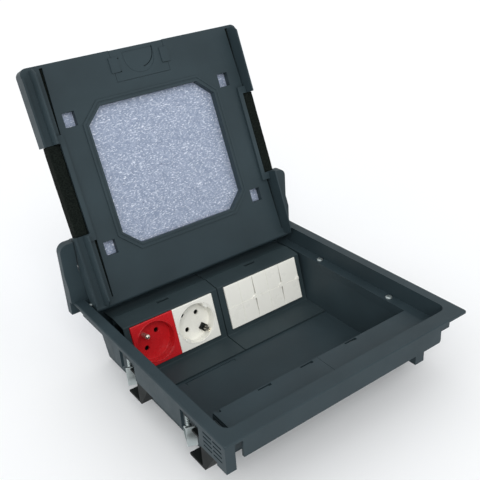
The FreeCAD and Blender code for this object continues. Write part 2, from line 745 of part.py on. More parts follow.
def earth_clips(x0):
    """Two sprung earth strips on opposite sides of the cup."""
    x = x0 + MODULE / 2
    y = -MODULE / 2
    reach = WELL_RADIUS - EARTH_CLIP_STANDOFF
    low = -WELL_DEPTH
    profile = [Point(reach, 0, low), Point(WELL_RADIUS, 0, low),
               Point(WELL_RADIUS, 0, low + EARTH_CLIP_FOOT),
               Point(reach + EARTH_CLIP_THICKNESS, 0, low + EARTH_CLIP_HEIGHT / 2),
               Point(WELL_RADIUS, 0, low + EARTH_CLIP_HEIGHT),
               Point(WELL_RADIUS - EARTH_CLIP_THICKNESS, 0, low + EARTH_CLIP_HEIGHT),
               Point(reach - EARTH_CLIP_THICKNESS / 2, 0, low + EARTH_CLIP_HEIGHT / 2)]
    strip = prism(profile, Point(0, EARTH_CLIP_WIDTH, 0))
    strip.translate(Point(0, -EARTH_CLIP_WIDTH / 2, 0))
    strip = strip.common(rod(0, 0, low, 0, WELL_RADIUS))
    clips = []
    for half_turn in (0, 180):
        clip = strip.copy()
        clip.rotate(Point(0, 0, 0), Point(0, 0, 1), SOCKET_TURN + 90 + half_turn)
        clip.translate(Point(x, y, 0))
        clips.append(clip)
    return clips


# ---------------------------------------------------------------- blank data covers
def cover(x0, width, halved):
    """White blank plate with its break lines and a small middle boss."""
    body = plate(x0, width)
    half_line = COVER_LINE_WIDTH / 2
    lines = [block(x0, x0 + width, -MODULE / 2 - half_line, -MODULE / 2 + half_line,
                   -COVER_LINE_DEPTH, CUT)]
    if halved:
        middle = x0 + width / 2
        lines.append(block(middle - half_line, middle + half_line, -MODULE, 0,
                           -COVER_LINE_DEPTH, CUT))
    body = body.cut(Part.makeCompound(lines))
    edge = x0 + width - COVER_BOSS - COVER_BOSS_EDGE
    boss = block(edge, edge + COVER_BOSS, -MODULE / 2 - COVER_BOSS / 2,
                 -MODULE / 2 + COVER_BOSS / 2, -COVER_LINE_DEPTH, COVER_BOSS_HEIGHT)
    return body.fuse(boss).removeSplitter()


# ---------------------------------------------------------------- lid
def octagon(grow, z0, z1):
    """Window outline, made larger by a margin and extruded."""
    x = WINDOW_HALF_WIDTH + grow
    y0 = WINDOW_FRONT - grow
    y1 = WINDOW_BACK + grow
    corner = math.tan(math.radians(22.5)) * grow
    cx = WINDOW_CUT_X + grow - corner
    cy = WINDOW_CUT_Y + grow - corner
    return upright([(-x + cx, y0), (x - cx, y0), (x, y0 + cy), (x, y1 - cy), (x - cx, y1),
                    (-x + cx, y1), (-x, y1 - cy), (-x, y0 + cy)], z0, z1)


def small_window(grow, z0, z1):
    """The four corner windows, made larger by a margin."""
    boxes = []
    x0 = WINDOW_HALF_WIDTH + SMALL_WINDOW_GAP
    x1 = x0 + SMALL_WINDOW_WIDTH
    for y0 in (WINDOW_FRONT - SMALL_WINDOW_AHEAD,
               WINDOW_BACK + SMALL_WINDOW_AHEAD - SMALL_WINDOW_LENGTH):
        box = block(x0 - grow, x1 + grow, y0 - grow, y0 + SMALL_WINDOW_LENGTH + grow, z0, z1)
        boxes += [box, mirrored(box)]
    return boxes


def side_rim():
    """Deep inner rim, front and rear lengths, with sloped noses."""
    x0 = SIDE_RIM_OUTER - SIDE_RIM_THICKNESS
    y0 = LID_FRONT + SIDE_RIM_FRONT_GAP
    y1 = LID_BACK - SIDE_RIM_BACK_GAP
    low = LID_PANEL_Z - SIDE_RIM_HEIGHT
    top = LID_PANEL_Z
    front = across([(y0, top), (y0, low + SIDE_RIM_NOSE), (y0 + SIDE_RIM_NOSE, low),
                    (OUTLET_FRONT, low), (OUTLET_FRONT, top)], x0, SIDE_RIM_OUTER)
    rear = across([(OUTLET_BACK, top), (OUTLET_BACK, low), (y1 - SIDE_RIM_NOSE, low),
                   (y1, low + SIDE_RIM_NOSE), (y1, top)], x0, SIDE_RIM_OUTER)
    return [front, rear]


def side_wall():
    y0 = LID_FRONT + LID_SIDE_SETBACK + LID_CORNER
    return block(LID_HALF_WIDTH - LID_SIDE_WALL, LID_HALF_WIDTH, y0, LID_BACK - LID_CORNER,
                 LID_PANEL_Z - LID_SIDE_DROP, -CUT)


def lid_tray():
    """Panel with its upstanding edge and the step that carries the steel plate."""
    tray = front_rounded(-LID_HALF_WIDTH, LID_HALF_WIDTH, LID_FRONT, LID_BACK,
                         LID_PANEL_Z, 0, LID_CORNER)
    x = LID_HALF_WIDTH - LID_SIDE_WALL
    y0 = LID_FRONT + LID_FRONT_WALL
    y1 = LID_BACK - LID_HINGE_STRIP
    inside = LID_CORNER - LID_SIDE_WALL
    recess = front_rounded(-x, x, y0, y1, LID_PANEL_Z + PLATE_HEIGHT, CUT, inside)
    hollow = block(-x + PLATE_STEP, x - PLATE_STEP, y0 + PLATE_STEP, y1 - PLATE_STEP,
                   LID_PANEL_Z + LID_PANEL, CUT)
    return tray.cut(recess).cut(hollow)


def outlet_frame():
    """Walls round the right-hand cable outlet."""
    x0 = OUTLET_INNER - OUTLET_WALL
    y0 = OUTLET_FRONT - OUTLET_WALL
    y1 = OUTLET_BACK + OUTLET_WALL
    walls = block(x0, LID_HALF_WIDTH - CUT, y0, y1, LID_PANEL_Z, 0)
    low = LID_PANEL_Z - OUTLET_RIB_HEIGHT
    ribs = block(OUTLET_INNER - OUTLET_RIB_WIDTH, SIDE_RIM_OUTER - SIDE_RIM_THICKNESS - FOAM_GAP,
                 OUTLET_FRONT - OUTLET_RIB_LENGTH, OUTLET_BACK + OUTLET_RIB_LENGTH,
                 low, LID_PANEL_Z + CUT)
    return walls.fuse(ribs)


def outlet_cut():
    return block(OUTLET_INNER, LID_HALF_WIDTH + CUT, OUTLET_FRONT, OUTLET_BACK,
                 LID_PANEL_Z - SIDE_RIM_HEIGHT, CUT)


def cup_outline(grow, travel, z0, z1):
    """D-shaped outline of the finger cup, grown by a margin and stretched by the travel."""
    radius = CUP_RADIUS + grow
    y0 = CUP_FRONT - grow - travel
    y1 = CUP_FRONT + CUP_STRAIGHT
    straight = block(-radius, radius, y0, y1, z0, z1)
    bow = rod(0, y1, z0, z1, radius).cut(block(-radius, radius, y1 - radius, y1, z0, z1))
    return straight.fuse(bow).removeSplitter()


def latch_surround():
    """Closed pad round the finger cup, level with the lid's outer face."""
    grow = CUP_WALL + LATCH_GAP * 2 + CUP_WALL
    return cup_outline(grow, 0, LID_PANEL_Z + PLATE_HEIGHT, 0)


def latch_opening():
    side = LATCH_HALF_WIDTH + LATCH_GAP
    seat = block(-side, side, LID_FRONT - CUT, LATCH_BACK + LATCH_GAP, LID_PANEL_Z - CUT,
                 LID_PANEL_Z + LID_PANEL + CUT)
    channel = cup_outline(LATCH_GAP + CUP_WALL, LATCH_TRAVEL, LID_PANEL_Z, CUT)
    keep = block(-side, side, LID_FRONT - CUT * 2, LID_FRONT + LATCH_SKIN,
                 LID_PANEL_Z + LATCH_THICKNESS + LATCH_GAP, CUT * 2)
    return seat.fuse(channel).cut(keep)


def latch_lugs():
    """Lugs on the inner face that hold the latch in its seat, and rails above it."""
    low = block(LATCH_LUG_INNER, LATCH_LUG_OUTER, LUG_FRONT, LUG_BACK,
                LID_PANEL_Z - LUG_THICKNESS, LID_PANEL_Z - LATCH_GAP / 2)
    foot = block(LATCH_HALF_WIDTH + LATCH_GAP, LATCH_LUG_OUTER, LUG_FRONT, LUG_BACK,
                 LID_PANEL_Z - LUG_THICKNESS, LID_PANEL_Z + CUT)
    z0 = LID_PANEL_Z + LATCH_THICKNESS + LATCH_GAP
    rail = block(LATCH_LUG_INNER, LATCH_LUG_OUTER, LUG_FRONT, LUG_BACK,
                 z0, z0 + RAIL_THICKNESS)
    return [low, foot, rail]


def lid_pin_block():
    """Solid corner of the lid that holds a hinge pin."""
    x0 = LID_HALF_WIDTH - PIN_IN_LID - LID_SIDE_WALL
    return block(x0, LID_HALF_WIDTH, HINGE_Y - PIN_BLOCK, LID_BACK, LID_PANEL_Z, 0)


def lid_shell():
    z0 = LID_PANEL_Z + CUT / 2
    z1 = LID_PANEL_Z + PLATE_HEIGHT
    solid_parts = [lid_tray(), octagon(WINDOW_WALL, z0, z1)]
    solid_parts += small_window(SMALL_WINDOW_WALL, z0, z1)
    solid_parts.append(latch_surround())
    for piece in [side_wall(), outlet_frame(), lid_pin_block()] + latch_lugs():
        solid_parts += [piece, mirrored(piece)]
    low = LID_PANEL_Z - CUT
    cuts = [octagon(0, low, CUT), outlet_cut(), mirrored(outlet_cut()), latch_opening()]
    cuts += small_window(0, low, z1)
    shell = joined(solid_parts).cut(Part.makeCompound(cuts))
    lugs = latch_lugs()
    shell = joined([shell] + lugs + [mirrored(lug) for lug in lugs])
    pin = cross_rod(LID_HALF_WIDTH - PIN_IN_LID, LID_HALF_WIDTH + CUT, HINGE_Y, HINGE_Z,
                    HINGE_PIN_RADIUS)
    shell = shell.cut(pin.fuse(mirrored(pin)))
    strip = [edge for edge in shell.Edges if edge.BoundBox.XLength > LID_HALF_WIDTH
             and abs(edge.BoundBox.YMin - LID_BACK) < TOUCH
             and edge.BoundBox.ZMax < LID_PANEL_Z + CUT]
    return shell.makeFillet(LID_EDGE_RADIUS, strip)


def window_border():
    """Raised double border round the window, on the panel's inner face."""
    low = LID_PANEL_Z - BORDER_HEIGHT
    band = octagon(BORDER_WIDTH, low, LID_PANEL_Z).cut(octagon(0, low - CUT, LID_PANEL_Z + CUT))
    middle = BORDER_WIDTH / 2
    groove = octagon(middle + BORDER_GROOVE / 2, low - CUT, low + BORDER_GROOVE_DEPTH)
    groove = groove.cut(octagon(middle - BORDER_GROOVE / 2, low - CUT * 2, LID_PANEL_Z))
    return band.cut(groove)


def steel_plate():
    x = LID_HALF_WIDTH - LID_SIDE_WALL - PLATE_CLEARANCE
    y0 = LID_FRONT + LID_FRONT_WALL + PLATE_CLEARANCE
    y1 = LID_BACK - LID_HINGE_STRIP - PLATE_CLEARANCE
    z0 = LID_PANEL_Z + PLATE_HEIGHT
    sheet = front_rounded(-x, x, y0, y1, z0, z0 + PLATE_THICKNESS, LID_CORNER - LID_SIDE_WALL)
    gap = OUTLET_WALL + PLATE_CLEARANCE
    notch = block(OUTLET_INNER - gap, LID_HALF_WIDTH, OUTLET_FRONT - gap, OUTLET_BACK + gap,
                  z0 - CUT, z0 + PLATE_THICKNESS + CUT)
    cup = cup_outline(CUP_WALL * 2 + LATCH_GAP * 2 + PLATE_CLEARANCE, LATCH_TRAVEL,
                      z0 - CUT, z0 + PLATE_THICKNESS + CUT)
    return sheet.cut(notch).cut(mirrored(notch)).cut(cup)


def foam_pad():
    """Foam strip across the outlet, with the cables' way left free beside it."""
    return block(OUTLET_INNER + FOAM_PASSAGE, LID_HALF_WIDTH - FOAM_SETBACK,
                 OUTLET_FRONT + FOAM_GAP, OUTLET_BACK - FOAM_GAP,
                 LID_PANEL_Z - FOAM_BELOW, -FOAM_TOP_GAP)


def latch_slider():
    z0 = LID_PANEL_Z
    base = block(-LATCH_HALF_WIDTH, LATCH_HALF_WIDTH, LID_FRONT + LATCH_GAP, LATCH_BACK,
                 z0, z0 + LATCH_THICKNESS)
    cup = cup_outline(CUP_WALL, 0, z0, -CUP_TOP_GAP)
    hollow = cup_outline(0, 0, z0 + LATCH_THICKNESS, CUT)
    groove = cup_outline(CUP_LINE, 0, z0 - CUT, z0 + CUP_LINE_DEPTH)
    groove = groove.cut(cup_outline(0, 0, z0 - CUT * 2, z0 + CUT))
    return base.fuse(cup).removeSplitter().cut(hollow).cut(groove)


def hinge_pin():
    return cross_rod(LID_HALF_WIDTH - PIN_IN_LID, RECESS_HALF + PIN_IN_FRAME,
                     HINGE_Y, HINGE_Z, HINGE_PIN_RADIUS)


# ---------------------------------------------------------------- lid stops
def open_lid_back(z):
    """Y of the open lid's outer face at a height, with the stop's clearance."""
    lean = math.radians(OPEN_ANGLE - 90)
    reach = -HINGE_Z
    return HINGE_Y + reach / math.cos(lean) + (z - HINGE_Z) * math.tan(lean) + STOP_CLEARANCE


def lid_stop():
    """Left cheek beside the open lid, with a foot that the lid leans on."""
    outer = -HALF_FRAME - STOP_OUTSIDE
    inner = -LID_HALF_WIDTH - STOP_SIDE_GAP
    cheek = across([(FRAME_DEPTH, -STOP_BELOW), (STOP_BACK_Y, -STOP_BELOW),
                    (STOP_BACK_Y, STOP_HEIGHT), (FRAME_DEPTH, STOP_HEIGHT)], outer, inner)
    top = [edge for edge in cheek.Edges if edge.BoundBox.YLength > CUT
           and edge.BoundBox.XMax < outer + CUT and edge.BoundBox.ZMin > STOP_HEIGHT - CUT]
    cheek = cheek.makeFillet(STOP_CORNER, top)
    front = RECESS_BACK + STOP_FOOT_SETBACK
    lean = math.tan(math.radians(OPEN_ANGLE - 90))
    meet = (front - open_lid_back(0)) / lean
    foot = across([(front, 0), (FRAME_DEPTH, 0), (FRAME_DEPTH, -STOP_BELOW),
                   (STOP_BACK_Y, -STOP_BELOW), (STOP_BACK_Y, STOP_FOOT_HEIGHT),
                   (open_lid_back(STOP_FOOT_HEIGHT), STOP_FOOT_HEIGHT), (front, meet)],
                  outer, inner + STOP_FOOT_LENGTH)
    return cheek.fuse(foot).removeSplitter()


# ---------------------------------------------------------------- floor clamps
def clamp_housing(x, y):
    """Moulded block ahead of a clamp screw, sloped at its front."""
    inner = TUB_HALF_WIDTH + TUB_WALL + HOUSING_TUB_GAP
    outer = HALF_FRAME - HOUSING_SIDE_GAP
    rear = y - CLAW_ARM - HOUSING_CLAW_GAP
    front = rear - HOUSING_LENGTH
    outline = [(rear, SHELF_BOTTOM), (rear, -HOUSING_DEPTH), (front, -HOUSING_DEPTH),
               (front - HOUSING_SLOPE, -SIDE_SKIRT_DEPTH), (front - HOUSING_SLOPE, SHELF_BOTTOM)]
    body = across(outline, inner, outer)
    above = block(RECESS_HALF + FRAME_WALL, HALF_FRAME, 0, FRAME_DEPTH, -SIDE_SKIRT_DEPTH, 0)
    cup = block(inner + HOUSING_CUP_WALL, outer - HOUSING_CUP_WALL,
                front + HOUSING_CUP_WALL, rear + CUT, -HOUSING_DEPTH + HOUSING_CUP_WALL,
                -SIDE_SKIRT_DEPTH - HOUSING_CUP_WALL)
    body = body.cut(above).cut(cup)
    return body if x > 0 else mirrored(body)


def clamp_screw(x, y):
    head = rod(x, y, -RECESS_DEPTH, -RECESS_DEPTH + SCREW_HEAD_HEIGHT, SCREW_HEAD_RADIUS)
    return head.fuse(rod(x, y, SCREW_TIP, -RECESS_DEPTH, SCREW_RADIUS))


def clamp_nut(x, y):
    """Square nut with a round waist, which the claw turns on."""
    half = NUT_SIZE / 2
    top = -CLAW_DEPTH + CLAW_SHEET + RUNNING_FIT
    low = -CLAW_DEPTH - RUNNING_FIT
    nut = block(x - half, x + half, y - half, y + half, top, top + NUT_HEIGHT)
    foot = block(x - half, x + half, y - half, y + half, low - NUT_FOOT, low)
    waist = rod(x, y, low - NUT_FOOT, top + NUT_HEIGHT, NUT_COLLAR_RADIUS)
    bore = rod(x, y, low - NUT_FOOT - CUT, top + NUT_HEIGHT + CUT, SCREW_RADIUS + RUNNING_FIT)
    return nut.fuse(foot).fuse(waist).cut(bore)


def clamp_claw(x, y):
    """Bent steel claw: eye round the nut's waist, arm and upright end tab."""
    low = -CLAW_DEPTH
    half = CLAW_WIDTH / 2
    arm = block(-half, half, -CLAW_ARM, 0, low, low + CLAW_SHEET)
    eye = rod(0, 0, low, low + CLAW_SHEET, half)
    tab = block(-half, half, -CLAW_ARM, -CLAW_ARM + CLAW_SHEET, low, low + CLAW_TAB_HEIGHT)
    claw = joined([arm, eye, tab]).cut(rod(0, 0, low - CUT, low + CLAW_SHEET + CUT,
                                           NUT_COLLAR_RADIUS + RUNNING_FIT))
    turn = CLAW_REST_ANGLE if x > 0 else -CLAW_REST_ANGLE
    claw.rotate(Point(0, 0, 0), Point(0, 0, 1), turn)
    claw.translate(Point(x, y, 0))
    return claw


# ---------------------------------------------------------------- write the nodes
save("floor_frame", [floor_frame()])
save("tub", [tub()])
save("ledge_panel_right", [ledge_panel()])
save("ledge_panel_left", [mirrored(ledge_panel())])
save("module_carrier_left", [carrier(-CARRIER_OUTER, -CARRIER_HALF_GAP, SOCKETS_LEFT)])
save("module_carrier_right", [carrier(CARRIER_HALF_GAP, CARRIER_OUTER, COVERS_LEFT)])
save("support_frame_left", [support_frame(SOCKETS_LEFT)])
save("support_frame_right", [support_frame(COVERS_LEFT)])

for colour, left in (("red", SOCKETS_LEFT), ("white", SOCKETS_LEFT + MODULE)):
    save(colour + "_socket_plate", [on_face(socket_plate(left))])
    save(colour + "_socket_well", [on_face(socket_well(left))])
    save(colour + "_socket_body", [on_face(socket_body(left))])
save("earth_pin", [on_face(earth_pin(SOCKETS_LEFT))])
save("earth_clips", [on_face(clip) for clip in earth_clips(SOCKETS_LEFT + MODULE)])

wide = WIDE_COVER_SHARE * 2 * MODULE
save("data_cover_left", [on_face(cover(COVERS_LEFT, wide, True))])
save("data_cover_middle", [on_face(cover(COVERS_LEFT + wide, wide, True))])
save("data_cover_right", [on_face(cover(COVERS_LEFT + 2 * wide, 2 * MODULE - 2 * wide, False))])

save("lid_shell", [opened(lid_shell())])
save("lid_side_rims", [opened(rim) for rim in side_rim()]
     + [opened(mirrored(rim)) for rim in side_rim()])
save("window_border", [opened(window_border())])
save("lid_steel_plate", [opened(steel_plate())])
save("cable_foam_right", [opened(foam_pad())])
save("cable_foam_left", [opened(mirrored(foam_pad()))])
save("latch_slider", [opened(latch_slider())])
save("hinge_pins", [opened(hinge_pin()), opened(mirrored(hinge_pin()))])
save("lid_stops", [lid_stop(), mirrored(lid_stop())])

save("clamp_housings", [clamp_housing(x, y) for x, y in clamp_places()])
for number, (x, y) in enumerate(clamp_places(), start=1):
    save("clamp_screw_%d" % number, [clamp_screw(x, y)])
    save("clamp_nut_%d" % number, [clamp_nut(x, y)])
    save("clamp_claw_%d" % number, [clamp_claw(x, y)])
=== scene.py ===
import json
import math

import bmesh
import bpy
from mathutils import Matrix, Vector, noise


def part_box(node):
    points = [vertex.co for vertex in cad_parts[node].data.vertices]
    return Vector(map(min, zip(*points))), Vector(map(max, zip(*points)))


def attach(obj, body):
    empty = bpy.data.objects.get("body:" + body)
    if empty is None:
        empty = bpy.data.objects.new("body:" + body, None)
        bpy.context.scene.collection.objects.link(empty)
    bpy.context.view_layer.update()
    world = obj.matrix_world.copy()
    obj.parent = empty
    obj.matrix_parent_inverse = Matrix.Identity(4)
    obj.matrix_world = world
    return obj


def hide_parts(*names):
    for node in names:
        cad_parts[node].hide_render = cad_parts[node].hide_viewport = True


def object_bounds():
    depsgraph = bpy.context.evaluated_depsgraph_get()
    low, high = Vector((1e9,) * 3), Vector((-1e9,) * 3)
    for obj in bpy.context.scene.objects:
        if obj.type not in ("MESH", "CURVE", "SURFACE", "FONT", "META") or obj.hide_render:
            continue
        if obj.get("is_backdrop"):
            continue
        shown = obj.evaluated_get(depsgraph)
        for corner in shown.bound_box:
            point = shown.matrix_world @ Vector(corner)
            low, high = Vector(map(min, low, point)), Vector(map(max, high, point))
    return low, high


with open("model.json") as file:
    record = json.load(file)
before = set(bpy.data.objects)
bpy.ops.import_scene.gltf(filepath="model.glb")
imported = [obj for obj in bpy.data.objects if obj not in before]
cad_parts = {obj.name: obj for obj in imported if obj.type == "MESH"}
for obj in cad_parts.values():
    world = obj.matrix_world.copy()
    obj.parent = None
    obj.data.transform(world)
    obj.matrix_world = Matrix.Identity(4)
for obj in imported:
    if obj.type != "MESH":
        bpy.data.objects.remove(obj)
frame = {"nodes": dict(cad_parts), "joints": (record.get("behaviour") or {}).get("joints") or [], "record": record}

# %% [markdown]
# # A floor socket box, dressed for the eye
# The frame that was just loaded holds every solid part of the box, already in its place.
# This lesson gives each of them its real surface: softened moulded edges, grained plastic,
# spangled steel, glossy socket fronts, threads, foam and the small marks of the mould.
# Its box is kept now, before anything is added, so that the end can show that nothing grew.

MM = 0.001
cad_low, cad_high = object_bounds()
print("bare parts measure", [round((b - a) / MM, 1) for a, b in zip(cad_low, cad_high)], "mm")

# %% [markdown]
# ## Two handy sets of axes
# The lid stands open at rest, but it is far easier to think of it lying shut. The hinge joint
# gives its axle and its opening angle, and from them comes the turn that takes a shut place
# to the open one. The sockets and covers share a sloping face, so it gets axes as well, with
# their origin at the white socket's middle: x across, y up the slope, z straight out of it.

# %% Axes of the lid and of the sloping face
joints = {joint["name"]: joint for joint in frame["joints"]}
hinge = joints["lid_hinge"]
hinge_place = Vector(hinge["pos_m"])
open_angle = math.radians(hinge["range_deg"][1])
LID = (Matrix.Translation(hinge_place) @ Matrix.Rotation(-open_angle, 4, "X")
       @ Matrix.Translation(-hinge_place))
mounts = {mount["name"]: mount for mount in frame["record"]["mounts"]}
WELL_DEPTH = 10.5 * MM  # from the floor of a plug's recess up to the sloping face


def face_axes(mount):
    """Axes with their origin at a socket's middle, on the modules' front face."""
    out = Vector(mount["axis"]).normalized()
    across = Vector((1, 0, 0))
    turn = Matrix((across, out.cross(across), out)).transposed().to_4x4()
    return Matrix.Translation(Vector(mount["pos_m"]) + out * WELL_DEPTH) @ turn


WHITE_FACE = face_axes(mounts["white_socket"])
print("lid opens", round(math.degrees(open_angle), 1), "degrees")
print("white socket at", [round(v / MM, 1) for v in WHITE_FACE.translation], "mm")

# %% [markdown]
# ## Finishes
# A moulded plastic is never one flat colour. Its tone drifts a little where the melt cooled
# at different speeds, its gloss drifts with it, and the mould leaves a fine spark-eroded
# grain. One recipe with named amounts makes all the plastics, so they look like relatives.
# Every pattern reads Object coordinates, which stay with a piece when it moves.

# %% The recipe for moulded plastic
TONE_CLOUDS = 22.0  # every scale counts pattern cells per metre
GLOSS_CLOUDS = 90.0
GLOSS_DRIFT = 0.05
MATT_GRAIN = 1400.0
MATT_DEPTH = 0.03 * MM
POLISHED_GRAIN = 500.0
POLISHED_DEPTH = 0.006 * MM


def blank_finish(name):
    """Material with its principled shader, its tree and its object coordinates."""
    finish = bpy.data.materials.new(name)
    finish.use_nodes = True
    tree = finish.node_tree
    shader = tree.nodes["Principled BSDF"]
    place = tree.nodes.new("ShaderNodeTexCoord").outputs["Object"]
    return finish, tree, shader, place


def cloudy(tree, place, scale, detail=4.0, stretch=(1, 1, 1)):
    """Soft noise from 0 to 1, stretched along an axis if asked."""
    mapping = tree.nodes.new("ShaderNodeMapping")
    mapping.inputs["Scale"].default_value = stretch
    tree.links.new(place, mapping.inputs["Vector"])
    clouds = tree.nodes.new("ShaderNodeTexNoise")
    clouds.inputs["Scale"].default_value = scale
    clouds.inputs["Detail"].default_value = detail
    tree.links.new(mapping.outputs["Vector"], clouds.inputs["Vector"])
    return clouds.outputs["Fac"]


def ranged(tree, value, low, high, from_low=0.3, from_high=0.7):
    """A pattern's value carried from its own range to low and high."""
    node = tree.nodes.new("ShaderNodeMapRange")
    for socket, number in (("From Min", from_low), ("From Max", from_high),
                           ("To Min", low), ("To Max", high)):
        node.inputs[socket].default_value = number
    tree.links.new(value, node.inputs["Value"])
    return node.outputs["Result"]


def two_tone(tree, value, first, second):
    """Colour that runs from one tone to another with a pattern."""
    node = tree.nodes.new("ShaderNodeMix")
    node.data_type = "RGBA"
    tree.links.new(value, node.inputs[0])
    for socket, colour in zip((node.inputs[6], node.inputs[7]), (first, second)):
        if isinstance(colour, bpy.types.NodeSocket):
            tree.links.new(colour, socket)
        else:
            socket.default_value = (*colour, 1)
    return node.outputs[2]


def bumped(tree, shader, height, depth):
    """Relief of a given depth from a pattern."""
    node = tree.nodes.new("ShaderNodeBump")
    node.inputs["Strength"].default_value = 1.0
    node.inputs["Distance"].default_value = depth
    tree.links.new(height, node.inputs["Height"])
    tree.links.new(node.outputs["Normal"], shader.inputs["Normal"])


def moulded(name, colour, roughness, grain=MATT_GRAIN, depth=MATT_DEPTH, drift=0.12, shine=0.5):
    """Plastic with drifting tone, drifting gloss and a fine mould grain."""
    finish, tree, shader, place = blank_finish(name)
    slow = ranged(tree, cloudy(tree, place, TONE_CLOUDS), 0.0, 1.0)
    darker = [c * (1 - drift) for c in colour]
    lighter = [c * (1 + drift) for c in colour]
    tree.links.new(two_tone(tree, slow, darker, lighter), shader.inputs["Base Color"])
    gloss = ranged(tree, cloudy(tree, place, GLOSS_CLOUDS),
                   roughness - GLOSS_DRIFT, roughness + GLOSS_DRIFT)
    tree.links.new(gloss, shader.inputs["Roughness"])
    shader.inputs["Specular IOR Level"].default_value = shine
    bumped(tree, shader, cloudy(tree, place, grain, 2.0), depth)
    return finish


GREY = moulded("grey_plastic", (0.026, 0.041, 0.048), 0.50, shine=0.2)
DARK_GREY = moulded("carrier_plastic", (0.026, 0.040, 0.045), 0.55, shine=0.2)
BLACK = moulded("black_plastic", (0.006, 0.008, 0.008), 0.60, shine=0.15)
RED = moulded("red_plastic", (0.58, 0.014, 0.019), 0.28,
              grain=POLISHED_GRAIN, depth=POLISHED_DEPTH, drift=0.05)
WHITE = moulded("white_plastic", (0.91, 0.90, 0.83), 0.30,
                grain=POLISHED_GRAIN, depth=POLISHED_DEPTH, drift=0.02)
print("plastics:", [m.name for m in bpy.data.materials])

# %% [markdown]
# ## Metals and foam
# The plate that shows through the lid's windows is hot-dip galvanised steel. Zinc freezes
# into small flakes that each tilt their own way, so neighbouring patches shine unequally.
# Cells of a Voronoi pattern stand for the flakes, broken up by noise that is stretched along
# the rolling direction. The claws are plated in plain zinc, which is even and satin, and the
# earth contacts are nickelled brass. The foam's pores are a softer Voronoi pattern, with
# painted shade darkening the middle of each pore.

# %% Spangled steel, zinc plating, nickel and foam
FLAKES = 420.0
FLECKS = 1000.0
SPECKS = 1100.0
FLAKE_TONES = ((0.23, 0.28, 0.38), (0.32, 0.37, 0.48))
FLECK_TONE = (0.76, 0.80, 0.89)
SPECK_TONE = (0.12, 0.13, 0.19)
DRAWN_LINES = 260.0
PORES = 900.0
PORE_SHADE_AND_WALL_TONES = ((0.002, 0.003, 0.003), (0.009, 0.012, 0.010))


def spangled_steel():
    """Hot-dip zinc: bright flecks and grey flakes, streaked across the sheet."""
    finish, tree, shader, place = blank_finish("spangled_steel")
    flakes = tree.nodes.new("ShaderNodeTexVoronoi")
    flakes.inputs["Scale"].default_value = FLAKES
    tree.links.new(place, flakes.inputs["Vector"])
    flake_tone = tree.nodes.new("ShaderNodeSeparateColor")
    tree.links.new(flakes.outputs["Color"], flake_tone.inputs["Color"])
    ground = two_tone(tree, flake_tone.outputs["Red"], *FLAKE_TONES)
    flecks = ranged(tree, cloudy(tree, place, FLECKS, 3.0, (0.45, 1, 1)), 0.0, 1.0, 0.53, 0.72)
    bright = two_tone(tree, flecks, ground, FLECK_TONE)
    specks = ranged(tree, cloudy(tree, place, SPECKS, 2.0), 1.0, 0.0, 0.27, 0.38)
    colour = two_tone(tree, specks, bright, SPECK_TONE)
    tree.links.new(colour, shader.inputs["Base Color"])
    gloss = ranged(tree, flake_tone.outputs["Green"], 0.42, 0.62, 0.0, 1.0)
    tree.links.new(gloss, shader.inputs["Roughness"])
    shader.inputs["Metallic"].default_value = 0.35
    bumped(tree, shader, flake_tone.outputs["Blue"], 0.04 * MM)
    return finish


def plated(name, colour, roughness, streak):
    """Plated metal with faint drawing lines."""
    finish, tree, shader, place = blank_finish(name)
    lines = cloudy(tree, place, DRAWN_LINES, 4.0, streak)
    tone = ranged(tree, lines, 0.0, 1.0)
    tree.links.new(two_tone(tree, tone, [c * 0.85 for c in colour], colour),
                   shader.inputs["Base Color"])
    tree.links.new(ranged(tree, lines, roughness - 0.06, roughness + 0.08),
                   shader.inputs["Roughness"])
    shader.inputs["Metallic"].default_value = 0.85
    bumped(tree, shader, lines, 0.02 * MM)
    return finish


def cellular_foam():
    """Black open-cell foam: small pores with painted shade in their middles, and dull walls."""
    finish, tree, shader, place = blank_finish("foam")
    pores = tree.nodes.new("ShaderNodeTexVoronoi")
    pores.feature = "SMOOTH_F1"
    pores.inputs["Scale"].default_value = PORES
    tree.links.new(place, pores.inputs["Vector"])
    # Painted shade: the middle of each pore takes the darker tone, as the shade inside a hole
    painted_pore_shade = ranged(tree, pores.outputs["Distance"], 0.0, 1.0, 0.05, 0.6)
    tree.links.new(two_tone(tree, painted_pore_shade, *PORE_SHADE_AND_WALL_TONES), shader.inputs["Base Color"])
    tree.links.new(ranged(tree, cloudy(tree, place, 60.0), 0.85, 0.98), shader.inputs["Roughness"])
    shader.inputs["Specular IOR Level"].default_value = 0.05
    bumped(tree, shader, pores.outputs["Distance"], 0.5 * MM)
    return finish


SPANGLE = spangled_steel()
ZINC = plated("zinc_steel", (0.50, 0.56, 0.56), 0.38, (0.15, 0.15, 1))
NICKEL = plated("brass", (0.80, 0.76, 0.66), 0.25, (1, 1, 0.3))
FOAM = cellular_foam()
FINISHES = {"grey_plastic": GREY, "carrier_plastic": DARK_GREY, "black_plastic": BLACK,
            "red_plastic": RED, "white_plastic": WHITE, "spangled_steel": SPANGLE,
            "zinc_steel": ZINC, "brass": NICKEL, "foam": FOAM}
print(len(FINISHES), "finishes")

# %% [markdown]
# ## Softened mouldings
# A moulded edge is never a perfect corner: the tool has a small radius there, and the light
# runs along it as a fine bright line. Each part is copied, its loose triangles are merged
# into one closed skin, flat regions are dissolved into single faces, and only the corners
# that are truly sharp are rolled over. Weighted normals keep the broad faces flat.

# %% Copy a part and roll its corners
WELD = 0.002 * MM  # vertices nearer than this are one
SAME_PLANE = math.radians(0.4)  # faces that meet flatter than this are one
ROLLED_CORNER = math.radians(32)  # edges sharper than this are rolled
SHADED_CREASE = math.radians(38)  # edges sharper than this look like creases
SLOT_OF = {row["node"]: row["material_slot"] for row in frame["record"]["subparts"]}
BODY_OF = {node: body for body, nodes in frame["record"]["behaviour"]["bodies"].items()
           for node in nodes}


